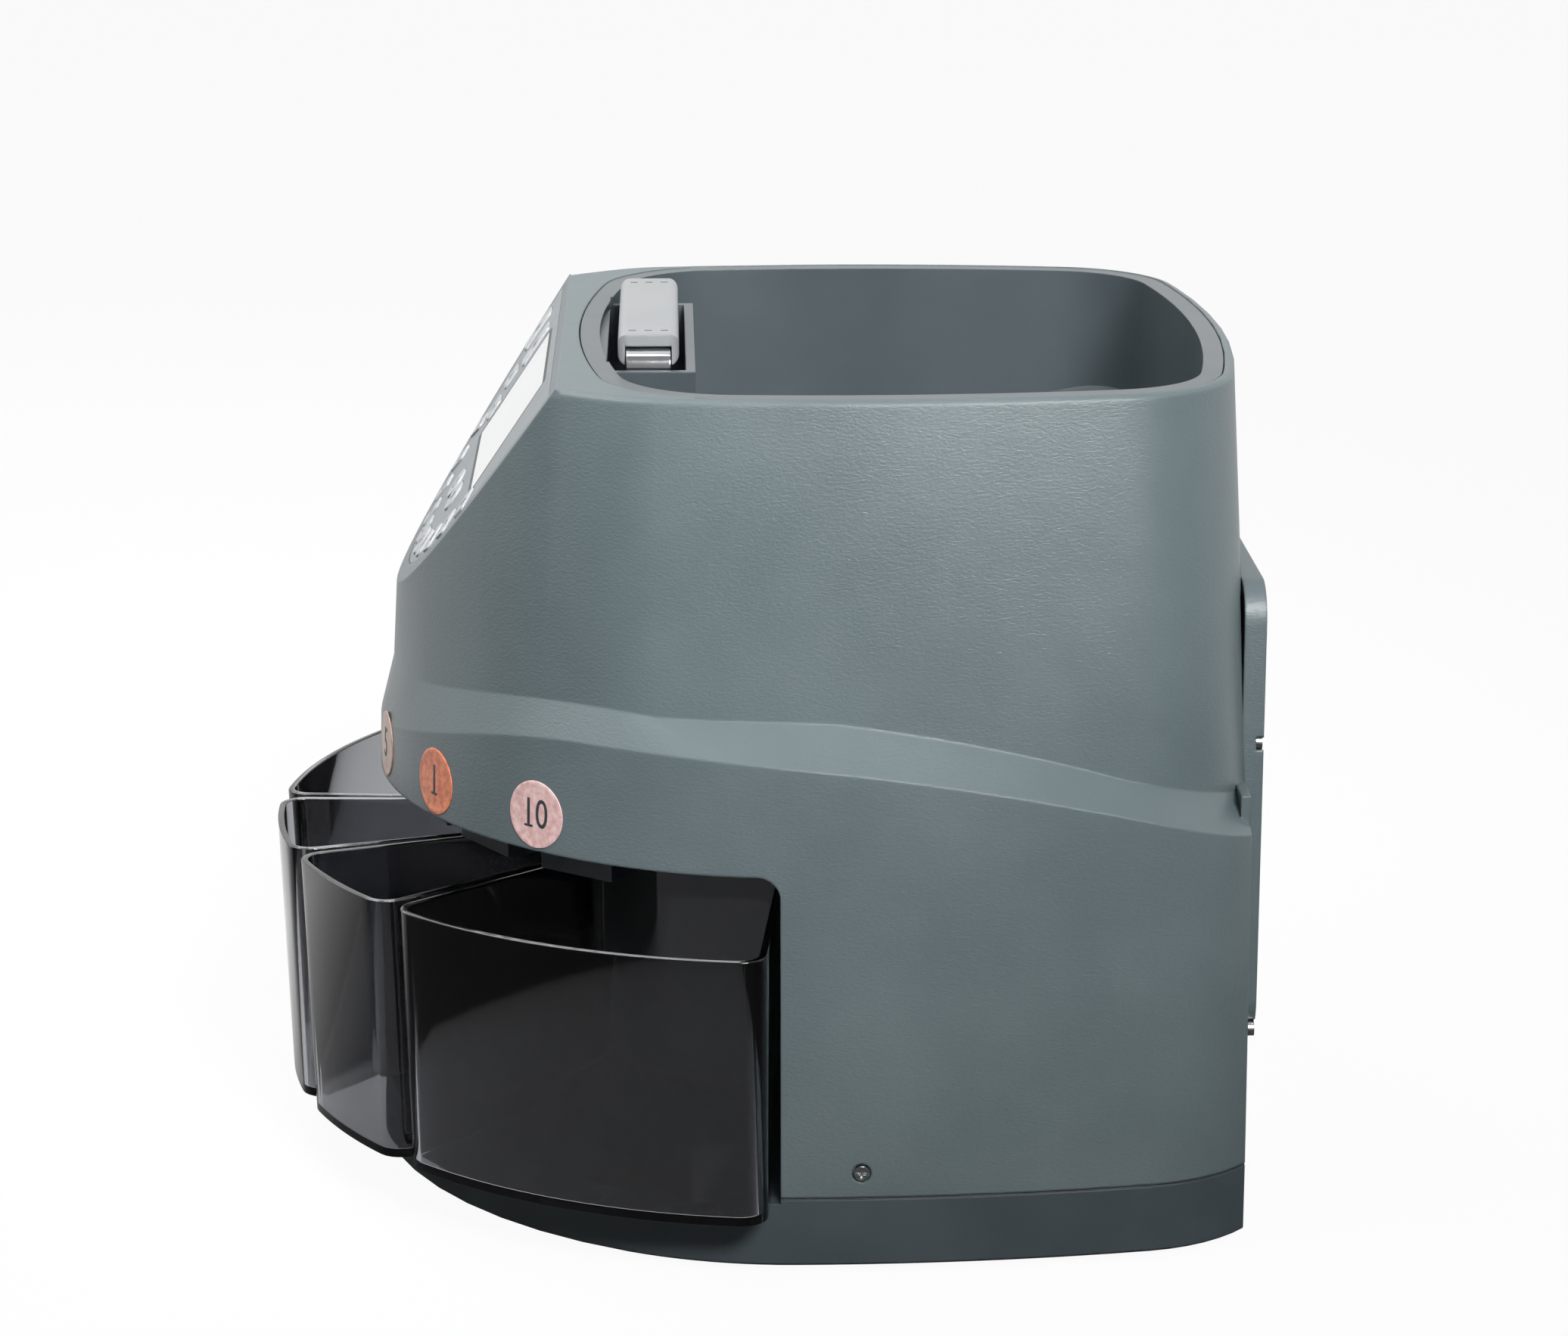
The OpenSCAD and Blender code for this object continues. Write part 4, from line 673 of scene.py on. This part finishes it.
@dataclass
class Studio:
    """White sweep, four soft lamps and the camera of the photograph."""

    eye: tuple[float, float, float] = (1.3824, -0.0275, 0.5126)
    azimuth: float = 88.444
    pitch: float = 14.6
    lens: float = 99.9
    ambient: float = 0.12
    reach: float = 6.0
    glow: float = 1.15
    share: float = 0.82

    def camera(self) -> None:
        """Stand the camera at the photograph's place."""
        data = bpy.data.cameras.new("camera")
        data.lens, data.sensor_width, data.sensor_fit = self.lens, 36.0, "HORIZONTAL"
        data.clip_start, data.clip_end = 0.05, 50.0
        eye = placed("camera", data)
        a, e = math.radians(self.azimuth), math.radians(self.pitch)
        ahead = Vector((-math.sin(a) * math.cos(e), math.cos(a) * math.cos(e), -math.sin(e)))
        eye.rotation_euler = ahead.to_track_quat("-Z", "Y").to_euler()
        eye.location = self.eye
        bpy.context.scene.camera = eye

    def lamp(self, name: str, at: Sequence[float], size: float, power: float, aim: Sequence[float] = (0, 0, 0.14),
             spread: float = 180.0) -> None:
        """Hang a square soft box that faces the sorter.

        Args:
            name: Name of the lamp.
            at: Place in metres.
            size: Side in metres.
            power: Power in watts.
            aim: Point that it faces, in metres.
            spread: Angle that its grid lets through, in degrees.
        """
        data = bpy.data.lights.new(name, "AREA")
        data.size, data.energy, data.spread = size, power, math.radians(spread)
        lamp = placed(name, data)
        lamp.location = at
        lamp.rotation_euler = (Vector(aim) - Vector(at)).to_track_quat("-Z", "Y").to_euler()

    def seen(self, tree: bpy.types.NodeTree, *kinds: str) -> tuple[bpy.types.Node, str]:
        """Tell rays that look at the background from rays that light the sorter.

        Args:
            tree: Node tree to add to.
            *kinds: Outputs of the light path that look.

        Returns:
            The node and the name of its output, 1 for rays that look.
        """
        path = add(tree, "ShaderNodeLightPath")
        found = (path, kinds[0])
        for kind in kinds[1:]:
            found = (add(tree, "ShaderNodeMath", {0: found, 1: (path, kind)}, operation="MAXIMUM"), "Value")
        return found

    def room(self) -> None:
        """Give the world a soft light, a white sweep behind the sorter and a dim room in front of it."""
        world = bpy.data.worlds.new("white_room")
        bpy.context.scene.world = world
        tree = bare_tree(world)
        light = add(tree, "ShaderNodeBackground", {"Color": linear(WHITE), "Strength": self.ambient})
        white = add(tree, "ShaderNodeBackground", {"Color": linear(WHITE), "Strength": 1.0})
        way = add(tree, "ShaderNodeTexCoord")
        axes = add(tree, "ShaderNodeSeparateXYZ", {"Vector": (way, "Generated")})
        dim = add(tree, "ShaderNodeMapRange", {"Value": (axes, "X"), "From Min": -0.1, "From Max": 0.35, "To Min": 1.0,
                                               "To Max": 0.3})
        mirror = add(tree, "ShaderNodeBackground", {"Color": linear(WHITE), "Strength": (dim, "Result")})
        looked = add(tree, "ShaderNodeMixShader", {"Fac": self.seen(tree, "Is Glossy Ray", "Is Transmission Ray"),
                                                   1: (light, "Background"), 2: (mirror, "Background")})
        straight = add(tree, "ShaderNodeMixShader", {"Fac": self.seen(tree, "Is Camera Ray"), 1: (looked, "Shader"),
                                                     2: (white, "Background")})
        add(tree, "ShaderNodeOutputWorld", {"Surface": (straight, "Shader")})

    def floor(self) -> None:
        """Lay a white sweep that keeps the sorter's shadow; polished faces see it dim in front of the sorter."""
        material = bpy.data.materials.new("paper_white_sweep")
        tree = bare_tree(material)
        place = add(tree, "ShaderNodeTexCoord")
        tooth = add(tree, "ShaderNodeTexNoise", {"Vector": (place, "Object"), "Scale": 3.0, "Detail": 2.0})
        tint = add(tree, "ShaderNodeValToRGB", {"Fac": (tooth, "Fac")}, ramp=((0.3, "#7c7c7c"), (0.7, "#808080")))
        paper = add(tree, "ShaderNodeBsdfDiffuse", {"Color": (tint, "Color")})
        axes = add(tree, "ShaderNodeSeparateXYZ", {"Vector": (place, "Object")})
        behind = add(tree, "ShaderNodeMapRange", {"Value": (axes, "X"), "From Min": -0.2, "From Max": 0.05,
                                                  "To Min": self.glow, "To Max": 0.05})
        bright = add(tree, "ShaderNodeMix", {"Factor": self.seen(tree, "Is Camera Ray", "Is Transmission Ray"),
                                             "A": (behind, "Result"), "B": self.glow})
        glow = add(tree, "ShaderNodeEmission", {"Color": linear(WHITE), "Strength": (bright, "Result")})
        share = add(tree, "ShaderNodeMapRange", {
            "Value": self.seen(tree, "Is Camera Ray", "Is Transmission Ray", "Is Glossy Ray"), "To Max": self.share})
        mix = add(tree, "ShaderNodeMixShader", {"Fac": (share, "Result"), 1: (paper, "BSDF"), 2: (glow, "Emission")})
        add(tree, "ShaderNodeOutputMaterial", {"Surface": (mix, "Shader")})
        bm = bmesh.new()
        bmesh.ops.create_grid(bm, x_segments=2, y_segments=2, size=self.reach)
        mesh = bpy.data.meshes.new("floor")
        bm.to_mesh(mesh)
        bm.free()
        mesh.materials.append(material)
        sweep = placed("floor", mesh)

    def build(self) -> None:
        """Set up camera, lamps, world and floor."""
        bpy.context.scene.view_settings.view_transform = "Standard"
        self.camera()
        self.room()
        self.floor()
        self.lamp("key_light", (1.05, 0.35, 1.05), 0.7, 3.2, aim=(0.1, 0.05, 0.4), spread=30.0)
        self.lamp("fill_light", (0.35, -1.1, 1.0), 0.7, 5.5)
        self.lamp("back_light", (-0.9, -0.7, 1.1), 0.7, 6.0)
        self.lamp("top_light", (0.1, -0.45, 1.25), 0.8, 6.5)


def dress_nodes() -> None:
    """Give every CAD node that keeps its shape its finish."""
    for surface, nodes in DRESS.items():
        for node in nodes:
            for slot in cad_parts[node].material_slots:
                slot.material = surface.value.make()
            log.info("%s: %s", node, surface.value.name)


def main() -> None:
    """Build the studio, dress the CAD nodes and build the pieces in order."""
    logging.basicConfig(level=logging.INFO, format="%(name)s %(message)s")
    Studio().build()
    dress_nodes()
    for assembly in (Mouldings(), CornerStrips(), Bins(), Labels(), Panel(), Grip()):
        assembly.build()


if __name__ == "__main__":
    main()
